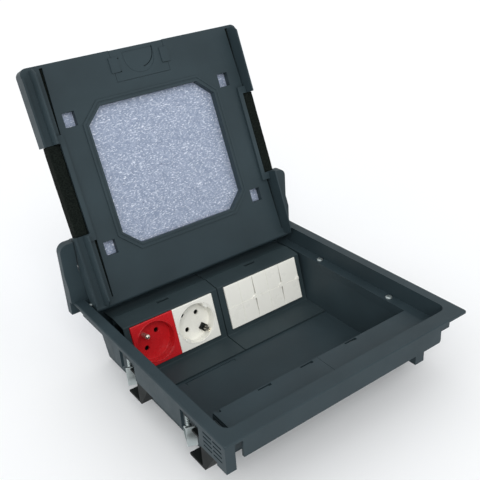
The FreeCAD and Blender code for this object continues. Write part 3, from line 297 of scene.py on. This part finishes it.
def merged_copy(mesh):
    """One closed bmesh from loose triangles, with its flat regions as single faces."""
    work = bmesh.new()
    work.from_mesh(mesh)
    bmesh.ops.remove_doubles(work, verts=work.verts, dist=WELD)
    bmesh.ops.dissolve_limit(work, angle_limit=SAME_PLANE, verts=work.verts, edges=work.edges)
    return work


def roll_corners(work, radius):
    """Bevel the sharp corners in two steps."""
    corners = [edge for edge in work.edges if len(edge.link_faces) == 2
               and edge.calc_face_angle() > ROLLED_CORNER]
    bmesh.ops.bevel(work, geom=corners, offset=radius, offset_type="OFFSET", segments=2,
                    profile=0.5, affect="EDGES", clamp_overlap=True)


def as_object(work, name, finish):
    """Plain object from a bmesh, with flat faces kept flat and curves smooth."""
    mesh = bpy.data.meshes.new(name)
    work.to_mesh(mesh)
    work.free()
    mesh.materials.append(finish)
    mesh.polygons.foreach_set("use_smooth", [True] * len(mesh.polygons))
    mesh.set_sharp_from_angle(angle=SHADED_CREASE)
    made = bpy.data.objects.new(name, mesh)
    bpy.context.scene.collection.objects.link(made)
    weighted = made.modifiers.new("even", "WEIGHTED_NORMAL")
    weighted.keep_sharp = True
    weighted.weight = 80
    return settled(made)


def settled(made):
    """The object with its modifiers worked into a plain mesh."""
    graph = bpy.context.evaluated_depsgraph_get()
    mesh = bpy.data.meshes.new_from_object(made.evaluated_get(graph))
    old = made.data
    made.modifiers.clear()
    made.data = mesh
    mesh.name = made.name
    bpy.data.meshes.remove(old)
    return made


def seated(made, node):
    """The piece rides with a part's body and stands for it."""
    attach(made, BODY_OF[node])
    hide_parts(node)
    return made


def place_mm(points, axes=None):
    """Points in millimetres carried into the scene, through a set of axes if given."""
    axes = axes or Matrix.Identity(4)
    return [axes @ (Vector(point) * MM) for point in points]


def add_prism(work, outline, low, high, axes=None):
    """Closed prism in a bmesh: an (x, y) outline in millimetres between two heights."""
    area = sum(a[0] * b[1] - b[0] * a[1] for a, b in zip(outline, outline[1:] + outline[:1]))
    outline = outline if area > 0 else outline[::-1]
    rings = [[work.verts.new(p) for p in place_mm([(x, y, z) for x, y in outline], axes)]
             for z in (low, high)]
    work.faces.new(rings[0][::-1])
    work.faces.new(rings[1])
    count = len(outline)
    for i in range(count):
        j = (i + 1) % count
        work.faces.new((rings[0][i], rings[0][j], rings[1][j], rings[1][i]))
    return work


def add_box(work, x0, x1, y0, y1, z0, z1, axes=None):
    """Closed box in a bmesh, in millimetres."""
    return add_prism(work, [(x0, y0), (x1, y0), (x1, y1), (x0, y1)], z0, z1, axes)


def worked(work, tool, operation):
    """A bmesh after a boolean with another one, both closed."""
    pair = []
    for name, part in (("blank", work), ("tool", tool)):
        mesh = bpy.data.meshes.new(name)
        part.to_mesh(mesh)
        part.free()
        thing = bpy.data.objects.new(name, mesh)
        bpy.context.scene.collection.objects.link(thing)
        pair.append(thing)
    blank, cutter = pair
    step = blank.modifiers.new("step", "BOOLEAN")
    step.operation = operation
    step.solver = "EXACT"
    step.use_self = True
    step.object = cutter
    graph = bpy.context.evaluated_depsgraph_get()
    mesh = bpy.data.meshes.new_from_object(blank.evaluated_get(graph))
    result = merged_copy(mesh)
    for thing in pair:
        data = thing.data
        bpy.data.objects.remove(thing)
        bpy.data.meshes.remove(data)
    bpy.data.meshes.remove(mesh)
    return result


def softened(node, radius, filled=None, cut=None):
    """A part's copy with fillings and cuts worked in and its corners rolled."""
    work = merged_copy(frame["nodes"][node].data)
    if filled:
        work = worked(work, filled, "UNION")
    if cut:
        work = worked(work, cut, "DIFFERENCE")
    roll_corners(work, radius * MM)
    return seated(as_object(work, node + "_soft", FINISHES[SLOT_OF[node]]), node)


# %% [markdown]
# ## The floor frame and its clamp pockets
# Beside each clamp the side skirt has an open pocket, so that the steel claw can swing out
# over the edge of the cut-out in the floor. The pocket is cut through the skirt and on down
# into the black housing below it. Near the front corner the left skirt has rows of long air
# slots, which leave thin louvres between them. The bare skirt has slots of another spacing,
# so they are filled first.
#
# Numbers for shapes are in millimetres. The FLOOR axes have x across, y from the front edge of
# the flange to the rear and z up from the flange's top, so whatever is below it is negative.

# %% Cut the pockets and the air slots
frame_low, frame_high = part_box("floor_frame")
FRAME_DEPTH = round((frame_high.y - frame_low.y) / MM, 2)
BOX_HEIGHT = round(frame_high.z / MM, 2)
HALF_FRAME = round(frame_high.x / MM, 2)
FLOOR = Matrix.Translation(Vector((0, -FRAME_DEPTH / 2, BOX_HEIGHT)) * MM)
BEYOND = 1.0  # how far a cutter reaches past the wall that it cuts
SKIRT = 2.5  # from the flange's side edge to the skirt's inner face
POCKETS = ((34.0, 58.5), (130.0, 154.5))  # front and rear end of each
SKIRT_POCKET = {"low": -23.0, "high": -4.0, "deep": SKIRT + 0.2}
HOUSING_POCKET = {"low": -42.8, "high": -21.0, "deep": 4.3}
BARE_SLOTS = (3.0, 30.0, -20.5, -4.0)  # front, rear, low and high of the area to fill
AIR_COLUMNS = 2
AIR_ROWS = 4
AIR_FRONT = 4.6
AIR_TOP = -4.2
AIR_SLOT_LENGTH = 10.8
AIR_SLOT_HEIGHT = 1.5
AIR_STEP_BACK = 12.6
AIR_STEP_DOWN = 4.1


def pockets(low, high, deep):
    """Openings beside the clamps, through the outer wall on both sides."""
    cut = bmesh.new()
    for front, rear in POCKETS:
        for side in (-1, 1):
            x = sorted((side * (HALF_FRAME + BEYOND), side * (HALF_FRAME - deep)))
            add_box(cut, *x, front, rear, low, high, FLOOR)
    return cut


def add_air_slots(cut):
    """Rows of slots in the left skirt, from the top down."""
    for column in range(AIR_COLUMNS):
        for row in range(AIR_ROWS):
            front = AIR_FRONT + column * AIR_STEP_BACK
            top = AIR_TOP - row * AIR_STEP_DOWN
            add_box(cut, -HALF_FRAME - BEYOND, -HALF_FRAME + SKIRT + BEYOND,
                    front, front + AIR_SLOT_LENGTH, top - AIR_SLOT_HEIGHT, top, FLOOR)
    return cut


slot_fill = add_box(bmesh.new(), -HALF_FRAME, -HALF_FRAME + SKIRT, *BARE_SLOTS, FLOOR)
softened("floor_frame", 0.35, filled=slot_fill, cut=add_air_slots(pockets(**SKIRT_POCKET)))
softened("clamp_housings", 0.4, cut=pockets(**HOUSING_POCKET))
print("clamp pockets", len(POCKETS) * 2, "air slots", AIR_COLUMNS * AIR_ROWS)

# %% [markdown]
# ## Small cuts that the mouldings carry
# The blank covers meet in grooves that widen like a wedge towards their middle latch. They are
# cut with closed prisms before the corners roll, and so is everything else in this chapter.

# %% Wedge grooves between the blank covers
COVERS = WHITE_FACE @ Matrix.Translation(Vector((-mounts["white_socket"]["pos_m"][0], 0, 0)))
SEAM_DEPTH = 5.0
SEAM_WEDGES = ((3.0, 21.5, 0.75, 0.2), (-17.0, -2.0, 0.3, 0.75))  # ends, half width at each
FILLS = {}
CUTS = {}
seams = [corner.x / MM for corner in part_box("data_cover_middle")]
for node in ("data_cover_left", "data_cover_middle", "data_cover_right"):
    CUTS[node] = bmesh.new()
    for seam in seams:
        for low, high, half_low, half_high in SEAM_WEDGES:
            wedge = [(seam - half_low, low), (seam + half_low, low),
                     (seam + half_high, high), (seam - half_high, high)]
            add_prism(CUTS[node], wedge, -SEAM_DEPTH, BEYOND, COVERS)
print("grooves at x =", [round(seam, 1) for seam in seams])

# %% [markdown]
# The lift-out panels have slots for a flat blade, with a wider hole at one end. The bare
# panels have two plain slots each, so those are filled first. The left panel also has a notch
# in its outer rear corner.

# %% Blade slots of the lift-out panels
SLOT_INSET = 2.4  # from the panel's rear edge
SLOT_Y = (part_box("ledge_panel_left")[1].y / MM + FRAME_DEPTH / 2) - SLOT_INSET
BARE_SLOT_X = (13, 59)
BARE_SLOT_HALF = (6.4, 1.2)
SLOT_MIDDLES = {"ledge_panel_left": (-56.5, -13.0), "ledge_panel_right": (36.0,)}
BLADE_SLOT = (-6, 4, 0, 1.6)  # x from the slot's middle and y from SLOT_Y, two of each
END_HOLE = (3.8, 7, -0.9, 1.8)
CORNER_NOTCH = (-101.8, -98.4, -0.6, 5)
PANEL_CUT = (-18.5, -13.5)


def slot_filling(node):
    """Blocks as thick as the panel, where the bare one has its slots."""
    low, high = (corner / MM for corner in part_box(node))
    side = 1 if node.endswith("right") else -1
    half_x, half_y = BARE_SLOT_HALF
    fill = bmesh.new()
    for x in BARE_SLOT_X:
        add_box(fill, side * x - half_x, side * x + half_x, SLOT_Y - half_y, SLOT_Y + half_y,
                low.z - BOX_HEIGHT, high.z - BOX_HEIGHT, FLOOR)
    return fill


def add_panel_cut(cut, middle, shape):
    """One opening through a panel."""
    x0, x1, y0, y1 = shape
    add_box(cut, middle + x0, middle + x1, SLOT_Y + y0, SLOT_Y + y1, *PANEL_CUT, FLOOR)


for node, middles in SLOT_MIDDLES.items():
    FILLS[node] = slot_filling(node)
    CUTS[node] = bmesh.new()
    for middle in middles:
        add_panel_cut(CUTS[node], middle, BLADE_SLOT)
        add_panel_cut(CUTS[node], middle, END_HOLE)
add_panel_cut(CUTS["ledge_panel_left"], 0, CORNER_NOTCH)
print("blade slots", {node: len(middles) for node, middles in SLOT_MIDDLES.items()})

# %% [markdown]
# The lid has square brackets and a bold arc at its latch, and tapering grooves beside its deep
# rims. They are laid out in the shut lid, where its inner face looks down, and then carried
# to the open one.

# %% Marks at the latch and grooves beside the rims
SHUT = LID @ FLOOR
BRACKETS = ((-25.4, 1), (27.6, -1))  # outer side, and the way its arms point
BRACKET_LINE = 1.0
BRACKET_ARM = (0.9, 4.6)
BRACKET_Y = (22.4, 35.6)
BRACKET_CUT = (-14.5, -11.7)
CUP_MIDDLE = (0, 19.6)
CUP_LINE = (15.9, 15.0)  # outer and inner radius
CUP_TURN = (-8, 82)
CUP_CUT = (-14.5, -11.9)
RIM_WALL = 1.5
RIM_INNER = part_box("lid_side_rims")[1].x / MM - RIM_WALL
RIM_FEET = ((-97.4, -1), (RIM_INNER, 1))
LID_GROOVES = ((17, 80, 3.6, 0.9), (172, 230, 3.0, 1.2))  # ends, width at each
GROOVE_FROM_FOOT = 0.4
GROOVE_CUT = (-14.5, -11.0)


def arc(radius, first, last, middle, points=14):
    """Points along a part of a circle."""
    turns = [math.radians(first + (last - first) * i / (points - 1)) for i in range(points)]
    return [(middle[0] + radius * math.cos(t), middle[1] + radius * math.sin(t)) for t in turns]


def latch_marks():
    """Square brackets beside the latch and the bold half of its cup line."""
    cut = bmesh.new()
    for x, inward in BRACKETS:
        upright = sorted((x, x + inward * BRACKET_LINE))
        add_box(cut, *upright, *BRACKET_Y, *BRACKET_CUT, SHUT)
        arm = sorted(x + inward * reach for reach in BRACKET_ARM)
        for y in (BRACKET_Y[0], BRACKET_Y[1] - BRACKET_LINE):
            add_box(cut, *arm, y, y + BRACKET_LINE, *BRACKET_CUT, SHUT)
    first, last = CUP_TURN
    outline = arc(CUP_LINE[0], first, last, CUP_MIDDLE) + arc(CUP_LINE[1], last, first, CUP_MIDDLE)
    add_prism(cut, outline, *CUP_CUT, SHUT)
    return cut


CUTS["latch_slider"] = latch_marks()
CUTS["lid_shell"] = latch_marks()
for foot, side in RIM_FEET:
    for front, rear, wide_front, wide_rear in LID_GROOVES:
        wedge = [(foot - side * GROOVE_FROM_FOOT, front), (foot - side * wide_front, front),
                 (foot - side * wide_rear, rear), (foot, rear)]
        add_prism(CUTS["lid_shell"], wedge, *GROOVE_CUT, SHUT)
print("cuts for", sorted(CUTS))

# %% [markdown]
# ## The other housings
# Big mouldings get the widest corner radius, in millimetres, and thin sheets a smaller one.
# The tub has knock-out discs, which installers break out for the floor cables.

# %% Soften the housings, carriers and lid
CLAMPS = range(1, 5)
RADII = {"tub": 0.35, "ledge_panel_left": 0.3, "ledge_panel_right": 0.3,
         "module_carrier_left": 0.25, "module_carrier_right": 0.25, "lid_shell": 0.25,
         "lid_side_rims": 0.3, "window_border": 0.2, "latch_slider": 0.2, "lid_stops": 0.5,
         "support_frame_left": 0.2, "support_frame_right": 0.2,
         "lid_steel_plate": 0.15, "hinge_pins": 0.2, "red_socket_plate": 0.2,
         "white_socket_plate": 0.2, "red_socket_well": 0.3, "white_socket_well": 0.3,
         "red_socket_body": 0.4, "white_socket_body": 0.4, "earth_pin": 0.15,
         "earth_clips": 0.1, "data_cover_left": 0.15, "data_cover_middle": 0.15,
         "data_cover_right": 0.15}
for number in CLAMPS:
    RADII["clamp_nut_%d" % number] = 0.15
    RADII["clamp_claw_%d" % number] = 0.2
soft = {node: softened(node, radius, filled=FILLS.get(node), cut=CUTS.get(node))
        for node, radius in RADII.items()}
print(len(soft), "softened parts,", sum(len(o.data.polygons) for o in soft.values()), "faces")

# %% [markdown]
# ## Clamp screws with a real thread
# Four long screws pull the claws up under the floor. A thread is a small ridge that climbs a
# core at a steady pitch, so a node tree makes it: a helix carries a four-sided profile, half
# sunk in a plain rod, and what stands out of the rod is a three-sided ridge. Pitch, length and
# both radii are inputs, so the same tree would make any other screw. The head is turned and
# gets its cross recess with a boolean.

# %% Node tree for a threaded rod
ROD_DEFAULTS = (("Length", 0.03), ("Pitch", 0.0007), ("Core", 0.0016), ("Crest", 0.002))
PLAIN_ENDS = 3.0  # ridge heights that stay free of thread, half at each end
RIDGE_REACH = 0.95  # the profile's radius as a share of the ridge's height


def threaded_rod_tree():
    """Core and helical ridge, standing on the origin, with named inputs."""
    tree = bpy.data.node_groups.new("threaded_rod", "GeometryNodeTree")
    for name, value in ROD_DEFAULTS:
        entry = tree.interface.new_socket(name, in_out="INPUT", socket_type="NodeSocketFloat")
        entry.default_value = value
    tree.interface.new_socket("Finish", in_out="INPUT", socket_type="NodeSocketMaterial")
    tree.interface.new_socket("Geometry", in_out="OUTPUT", socket_type="NodeSocketGeometry")
    given = tree.nodes.new("NodeGroupInput").outputs

    def reckoned(operation, first, second):
        """Result of a sum with inputs or numbers."""
        node = tree.nodes.new("ShaderNodeMath")
        node.operation = operation
        for socket, value in zip(node.inputs, (first, second)):
            if isinstance(value, bpy.types.NodeSocket):
                tree.links.new(value, socket)
            else:
                socket.default_value = value
        return node.outputs[0]

    ridge = reckoned("SUBTRACT", given["Crest"], given["Core"])
    room = reckoned("MULTIPLY", ridge, PLAIN_ENDS)
    climb = reckoned("SUBTRACT", given["Length"], room)
    helix = tree.nodes.new("GeometryNodeCurveSpiral")
    helix.inputs["Resolution"].default_value = 16
    helix.inputs["Reverse"].default_value = True
    tree.links.new(reckoned("DIVIDE", climb, given["Pitch"]), helix.inputs["Rotations"])
    for name in ("Start Radius", "End Radius"):
        tree.links.new(given["Core"], helix.inputs[name])
    tree.links.new(climb, helix.inputs["Height"])
    profile = tree.nodes.new("GeometryNodeCurvePrimitiveCircle")
    profile.inputs["Resolution"].default_value = 4
    tree.links.new(reckoned("MULTIPLY", ridge, RIDGE_REACH), profile.inputs["Radius"])
    sweep = tree.nodes.new("GeometryNodeCurveToMesh")
    sweep.inputs["Fill Caps"].default_value = True
    tree.links.new(helix.outputs[0], sweep.inputs["Curve"])
    tree.links.new(profile.outputs[0], sweep.inputs["Profile Curve"])
    lifted = tree.nodes.new("GeometryNodeTransform")
    tree.links.new(sweep.outputs[0], lifted.inputs["Geometry"])
    up_by = tree.nodes.new("ShaderNodeCombineXYZ")
    tree.links.new(reckoned("MULTIPLY", ridge, PLAIN_ENDS / 2), up_by.inputs["Z"])
    tree.links.new(up_by.outputs[0], lifted.inputs["Translation"])
    core = tree.nodes.new("GeometryNodeMeshCylinder")
    core.inputs["Vertices"].default_value = 24
    tree.links.new(given["Core"], core.inputs["Radius"])
    tree.links.new(given["Length"], core.inputs["Depth"])
    raised = tree.nodes.new("GeometryNodeTransform")
    tree.links.new(core.outputs["Mesh"], raised.inputs["Geometry"])
    half_up = tree.nodes.new("ShaderNodeCombineXYZ")
    tree.links.new(reckoned("MULTIPLY", given["Length"], 0.5), half_up.inputs["Z"])
    tree.links.new(half_up.outputs[0], raised.inputs["Translation"])
    joined = tree.nodes.new("GeometryNodeJoinGeometry")
    tree.links.new(lifted.outputs[0], joined.inputs[0])
    tree.links.new(raised.outputs[0], joined.inputs[0])
    real = tree.nodes.new("GeometryNodeRealizeInstances")
    tree.links.new(joined.outputs[0], real.inputs[0])
    painted = tree.nodes.new("GeometryNodeSetMaterial")
    tree.links.new(real.outputs[0], painted.inputs["Geometry"])
    tree.links.new(given["Finish"], painted.inputs["Material"])
    tree.links.new(painted.outputs[0], tree.nodes.new("NodeGroupOutput").inputs[0])
    return tree


ROD_TREE = threaded_rod_tree()
print("node tree", ROD_TREE.name, "with", len(ROD_TREE.nodes), "nodes")

# %% [markdown]
# The tree runs on an empty mesh. Its result becomes a plain mesh, because each screw turns
# with its own body and must stay the same whatever happens to the tree later.

# %% Make and seat the four screws
HEAD_PROFILE = ((0, 1.7), (1, 1.7), (1, 0.7), (0.86, 0.25), (0.5, 0), (0, 0))
CROSS = ((1.9, 0.42), (0.42, 1.9))  # half sizes of the two slots of the recess
CROSS_DEPTH = 1.2
UNDER_HEAD = 1.6  # from the head's tip down to the rod's end, inside the head
THREAD = {"Pitch": 0.7 * MM, "Core": 1.62 * MM, "Crest": 1.97 * MM, "Finish": ZINC}


def grown(tree, values):
    """Bmesh that a node tree makes with the given inputs."""
    seed = bpy.data.objects.new("seed", bpy.data.meshes.new("seed"))
    bpy.context.scene.collection.objects.link(seed)
    step = seed.modifiers.new("grow", "NODES")
    step.node_group = tree
    for item in tree.interface.items_tree:
        if item.in_out == "INPUT" and item.name in values:
            step[item.identifier] = values[item.name]
    graph = bpy.context.evaluated_depsgraph_get()
    mesh = bpy.data.meshes.new_from_object(seed.evaluated_get(graph))
    work = bmesh.new()
    work.from_mesh(mesh)
    empty = seed.data
    bpy.data.objects.remove(seed)
    bpy.data.meshes.remove(empty)
    bpy.data.meshes.remove(mesh)
    return work


def disc(radius, points):
    """Round outline."""
    turns = [2 * math.pi * i / points for i in range(points)]
    return [(radius * math.cos(t), radius * math.sin(t)) for t in turns]


def turned(work, profile, axes, points=32):
    """Closed turned form in a bmesh from (radius, height) points in millimetres."""
    rings = []
    for radius, height in profile:
        ring = disc(radius, points) if radius else [(0, 0)]
        rings.append([work.verts.new(p) for p in place_mm([(x, y, height) for x, y in ring], axes)])
    for low, high in zip(rings, rings[1:]):
        for i in range(points):
            j = (i + 1) % points
            face = [low[i % len(low)], low[j % len(low)], high[j % len(high)], high[i % len(high)]]
            work.faces.new(list(dict.fromkeys(face)))
    bmesh.ops.recalc_face_normals(work, faces=work.faces)
    return work


def clamp_screw(node):
    """Threaded screw in the place of a plain one, with a cross recess in its head.

    The head's profile has shares of its radius and distances below its tip.
    """
    low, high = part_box(node)
    middle = (low + high) / 2
    stand = Matrix.Translation(Vector((middle.x, middle.y, low.z)))
    length = (high.z - low.z) / MM
    head_radius = (high.x - low.x) / MM / 2
    profile = [(head_radius * share, length - below) for share, below in HEAD_PROFILE]
    head = turned(bmesh.new(), profile, stand)
    for half_x, half_y in CROSS:
        slot = add_box(bmesh.new(), -half_x, half_x, -half_y, half_y,
                       length - CROSS_DEPTH, length + BEYOND, stand)
        head = worked(head, slot, "DIFFERENCE")
    rod = grown(ROD_TREE, {"Length": (length - UNDER_HEAD) * MM, **THREAD})
    bmesh.ops.transform(rod, matrix=stand, verts=rod.verts)
    loose = bpy.data.meshes.new("rod")
    rod.to_mesh(loose)
    rod.free()
    head.from_mesh(loose)
    bpy.data.meshes.remove(loose)
    return seated(as_object(head, node + "_threaded", ZINC), node)


screws = [clamp_screw("clamp_screw_%d" % number) for number in CLAMPS]
print("screws:", [len(screw.data.polygons) for screw in screws], "faces")

# %% [markdown]
# ## Foam in the cable outlets
# A block of black open-cell foam fills each outlet in the lid's sides and gives way where a
# lead passes. It is cut with a hot wire, so its faces are nearly flat but never straight:
# they swell a little between the corners and their skin is pitted. A block with many small
# faces is pushed inwards by slow and fast noise, most at its edges.

# %% Make the two foam blocks
OUTLET_LOW = Vector((100.3, 83.4, -15.5))  # the right outlet, in the shut lid
OUTLET_HIGH = Vector((112.8, 168.2, -1.0))
FACE_SIZE = 1.3
SLOW_SCALE = 0.09
FAST_SCALE = 0.85
SKIN = 0.08  # what the wire takes everywhere, then the most that each cause adds
SLOW_DEPTH = 0.3
FAST_DEPTH = 0.32
EDGE_DEPTH = 0.45


def pushed_in(at, place, side):
    """Place of a point on the block's skin, where at runs from 0 to 1 along each axis."""
    slow = 0.5 + 0.5 * noise.noise(place * SLOW_SCALE + Vector((7.0 * side, 0, 0)))
    fast = 0.5 + 0.5 * noise.noise(place * FAST_SCALE + Vector((0, 3.0, 5.0)))
    for i in range(3):
        if min(at[i], 1 - at[i]) < 1e-6:
            away = max(abs(2 * at[j] - 1) for j in range(3) if j != i)
            inward = SKIN + SLOW_DEPTH * slow + FAST_DEPTH * fast + EDGE_DEPTH * away ** 8
            place[i] += inward if at[i] < 0.5 else -inward
    return place


def foam_block(node, side):
    """Pitted block that fills an outlet from wall to wall, made in the shut lid."""
    size = OUTLET_HIGH - OUTLET_LOW
    cells = [max(4, round(length / FACE_SIZE)) for length in size]
    work = bmesh.new()
    bmesh.ops.create_cube(work, size=1.0, matrix=Matrix.Translation((0.5, 0.5, 0.5)))
    for axis in range(3):
        normal = Vector([float(i == axis) for i in range(3)])
        for step in range(1, cells[axis]):
            bmesh.ops.bisect_plane(work, geom=work.verts[:] + work.edges[:] + work.faces[:],
                                   plane_co=normal * step / cells[axis], plane_no=normal)
    for vert in work.verts:
        at = vert.co.copy()
        place = Vector([OUTLET_LOW[i] + at[i] * size[i] for i in range(3)])
        place = pushed_in(at, place, side)
        vert.co = Vector((side * place.x, place.y, place.z))
    if side < 0:
        bmesh.ops.reverse_faces(work, faces=work.faces)
    for vert in work.verts:
        vert.co = LID @ (FLOOR @ (vert.co * MM))
    piece = seated(as_object(work, node + "_pitted", FOAM), node)
    return piece


foams = [foam_block("cable_foam_left", -1), foam_block("cable_foam_right", 1)]
print("foam blocks:", [len(foam.data.polygons) for foam in foams], "faces")

# %% [markdown]
# ## Rear flaps
# Behind the sloping carriers a thin flap closes the gap down to the rear wall. It isn't one
# of the solid parts, so it stands for none of them: it only rides with its carrier's body.

# %% Make the two flaps
FLAP_OUTLINE = ((216.9, -15.0), (235.8, -17.4), (235.8, -18.6), (216.9, -16.2))
FLAP_ENDS = (0.5, 103.0)  # distance of each flap's two ends from the middle


def finished(work, name, node, radius):
    """Extra piece that rides with a node's body and shares its finish."""
    bmesh.ops.recalc_face_normals(work, faces=work.faces)
    roll_corners(work, radius * MM)
    piece = as_object(work, name, FINISHES[SLOT_OF[node]])
    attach(piece, BODY_OF[node])
    return piece


def flap(name, node, x0, x1):
    """Thin sloping plate: a (y, z) outline carried across."""
    work = bmesh.new()
    ends = [[work.verts.new(p) for p in place_mm([(x, y, z) for y, z in FLAP_OUTLINE], FLOOR)]
            for x in (x0, x1)]
    work.faces.new(ends[0])
    work.faces.new(ends[1][::-1])
    for i in range(4):
        j = (i + 1) % 4
        work.faces.new((ends[0][i], ends[1][i], ends[1][j], ends[0][j]))
    return finished(work, name, node, 0.15)


near, far = FLAP_ENDS
flaps = [flap("rear_flap_left", "module_carrier_left", -far, -near),
         flap("rear_flap_right", "module_carrier_right", near, far)]
print("flaps:", [piece.name for piece in flaps])

# %% [markdown]
# ## Socket details and painted shade strips behind the grooves
# The white socket has a black guide beside its lower earth contact, a slotted contact that
# comes out of it, and a dark mark at the upper one. Those lie on one diagonal of the face, and
# two keying ribs lie on the other, at the ends of the line through the pins. Black strips of
# painted shade lie behind the grooves of the lid: they stand for the shade at the foot of the
# deep rims and keep the steel plate from showing through. Each piece is one or two plain
# boxes, given as x, y and z from low to high.

# %% Guide, contacts, ribs and painted shade strips
CONTACT_LINE = WHITE_FACE @ Matrix.Rotation(math.radians(-45), 4, "Z")
PIN_LINE = WHITE_FACE @ Matrix.Rotation(math.radians(45), 4, "Z")
GUIDE = [(10.6, 16.6, -3.4, 3.4, -10.6, -6.2)]
CONTACT = [(13.0, 18.2, -2.0, -0.5, -6.2, -3.0), (13.0, 18.2, 0.5, 2.0, -6.2, -3.0)]
UPPER_CONTACT = [(-18.9, -17.7, -1.9, 1.9, -4.5, -0.4)]
RIBS = [(-19.25, -17.2), (17.2, 19.25)]
RIB_SIZE = (-2.6, 2.6, -10.5, -0.15)
SHADE_STRIP_SPANS = ((-99.5, -91.5), (RIM_INNER - 5.5, RIM_INNER + 1.2))
SHADE_STRIP_ENDS = ((17, 82), (171, 230))
SHADE_STRIP_THICKNESS = (-11.28, -10.7)


def boxes(name, node, sizes, axes, radius):
    """Extra piece made of plain boxes, in a set of axes."""
    work = bmesh.new()
    for size in sizes:
        add_box(work, *size, axes)
    return finished(work, name, node, radius)


details = [boxes("earth_guide", "white_socket_body", GUIDE, CONTACT_LINE, 0.3),
           boxes("earth_contact", "earth_clips", CONTACT, CONTACT_LINE, 0.2),
           boxes("upper_contact", "white_socket_body", UPPER_CONTACT, CONTACT_LINE, 0.15)]
for number, span in enumerate(RIBS, 1):
    details.append(boxes("keying_rib_%d" % number, "white_socket_plate", [(*span, *RIB_SIZE)],
                         PIN_LINE, 0.25))
# Painted shade: black strips behind the lid's grooves, standing for the shade the deep rims cast
for number, ends in enumerate(SHADE_STRIP_ENDS, 1):
    shade_strips = [(*span, *ends, *SHADE_STRIP_THICKNESS) for span in SHADE_STRIP_SPANS]
    details.append(boxes("groove_shade_strip_%d" % number, "cable_foam_left", shade_strips, SHUT, 0.1))
print("details:", [piece.name for piece in details])

# %% [markdown]
# ## Floor, light and camera
# A pale floor carries the shadow. It lies a hair below the tub, so that the two faces don't
# flicker through each other.

# %% Lay the floor
bpy.ops.mesh.primitive_plane_add(size=6, location=(0, 0, cad_low.z - 0.1 * MM))
floor = bpy.context.object
floor.name = "floor"
paper, tree, shader, place = blank_finish("floor_paper")
tree.links.new(two_tone(tree, cloudy(tree, place, 3.0), (0.94, 0.94, 0.94), (0.96, 0.96, 0.96)),
               shader.inputs["Base Color"])
shader.inputs["Roughness"].default_value = 0.95
shader.inputs["Specular IOR Level"].default_value = 0.0
floor.data.materials.append(paper)
floor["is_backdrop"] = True
print("floor", [round(side, 1) for side in floor.dimensions[:2]], "m")

# %% [markdown]
# The world looks white to the camera and to mirrors, but lights the box at a plain level. A
# broad sun gives the forms their direction, and a weaker one from the left opens up the shaded
# walls.

# %% Light the box
AROUND = ((0.96, 0.98, 1.0, 1), 0.80)  # colour and strength of the light on the box
BACKDROP = ((1, 1, 1, 1), 1.0)


def glow(tree, colour, strength):
    """Background light of one colour."""
    node = tree.nodes.new("ShaderNodeBackground")
    node.inputs["Color"].default_value = colour
    node.inputs["Strength"].default_value = strength
    return node.outputs[0]


world = bpy.data.worlds.new("studio")
bpy.context.scene.world = world
world.use_nodes = True
tree = world.node_tree
tree.nodes.clear()
rays = tree.nodes.new("ShaderNodeLightPath")
seen = tree.nodes.new("ShaderNodeMath")
seen.operation = "MAXIMUM"
mirror = tree.nodes.new("ShaderNodeMath")
mirror.operation = "MAXIMUM"
tree.links.new(rays.outputs["Is Glossy Ray"], mirror.inputs[0])
tree.links.new(rays.outputs["Is Transmission Ray"], mirror.inputs[1])
tree.links.new(rays.outputs["Is Camera Ray"], seen.inputs[0])
tree.links.new(mirror.outputs[0], seen.inputs[1])
either = tree.nodes.new("ShaderNodeMixShader")
tree.links.new(seen.outputs[0], either.inputs[0])
tree.links.new(glow(tree, *AROUND), either.inputs[1])
tree.links.new(glow(tree, *BACKDROP), either.inputs[2])
out = tree.nodes.new("ShaderNodeOutputWorld")
tree.links.new(either.outputs[0], out.inputs[0])


def sunlight(name, energy, spread, toward):
    """Broad sun that shines from a direction, with its spread in degrees."""
    sun = bpy.data.objects.new(name, bpy.data.lights.new(name, "SUN"))
    sun.data.energy = energy
    sun.data.angle = math.radians(spread)
    sun.rotation_mode = "QUATERNION"
    sun.rotation_quaternion = Vector(toward).to_track_quat("Z", "Y")
    bpy.context.scene.collection.objects.link(sun)


sunlight("key", 1.2, 40, (-0.34, -0.70, 0.63))
sunlight("fill", 0.55, 60, (-0.88, -0.30, 0.36))
print("lights:", [light.name for light in bpy.data.lights])

# %% [markdown]
# The camera looks down into the open box from its front left corner. Its three directions are
# the columns of its turn.

# %% Place the camera
camera = bpy.data.objects.new("camera", bpy.data.cameras.new("camera"))
camera.data.lens = 54.43
camera.data.sensor_width = 36
camera.data.clip_start = 0.01
right = Vector((0.80547, -0.58927, -0.06300))
up = Vector((0.3214, 0.3450, 0.8818))
forward = Vector((0.49790, 0.73055, -0.46733))
place = Vector((-0.31878, -0.44096, 0.42510))
camera.matrix_world = (Matrix.Translation(place)
                       @ Matrix((right, up, -forward)).transposed().to_4x4())
bpy.context.scene.collection.objects.link(camera)
bpy.context.scene.camera = camera
bpy.context.scene.view_settings.view_transform = "Standard"
print("camera at", [round(v, 3) for v in camera.location])

# %% [markdown]
# ## Measure and finish
# The dressed box must fill the same space as the bare one.

# %% Write the sizes and close
low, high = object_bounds()
print("dressed parts measure", [round((b - a) / MM, 1) for a, b in zip(low, high)], "mm")
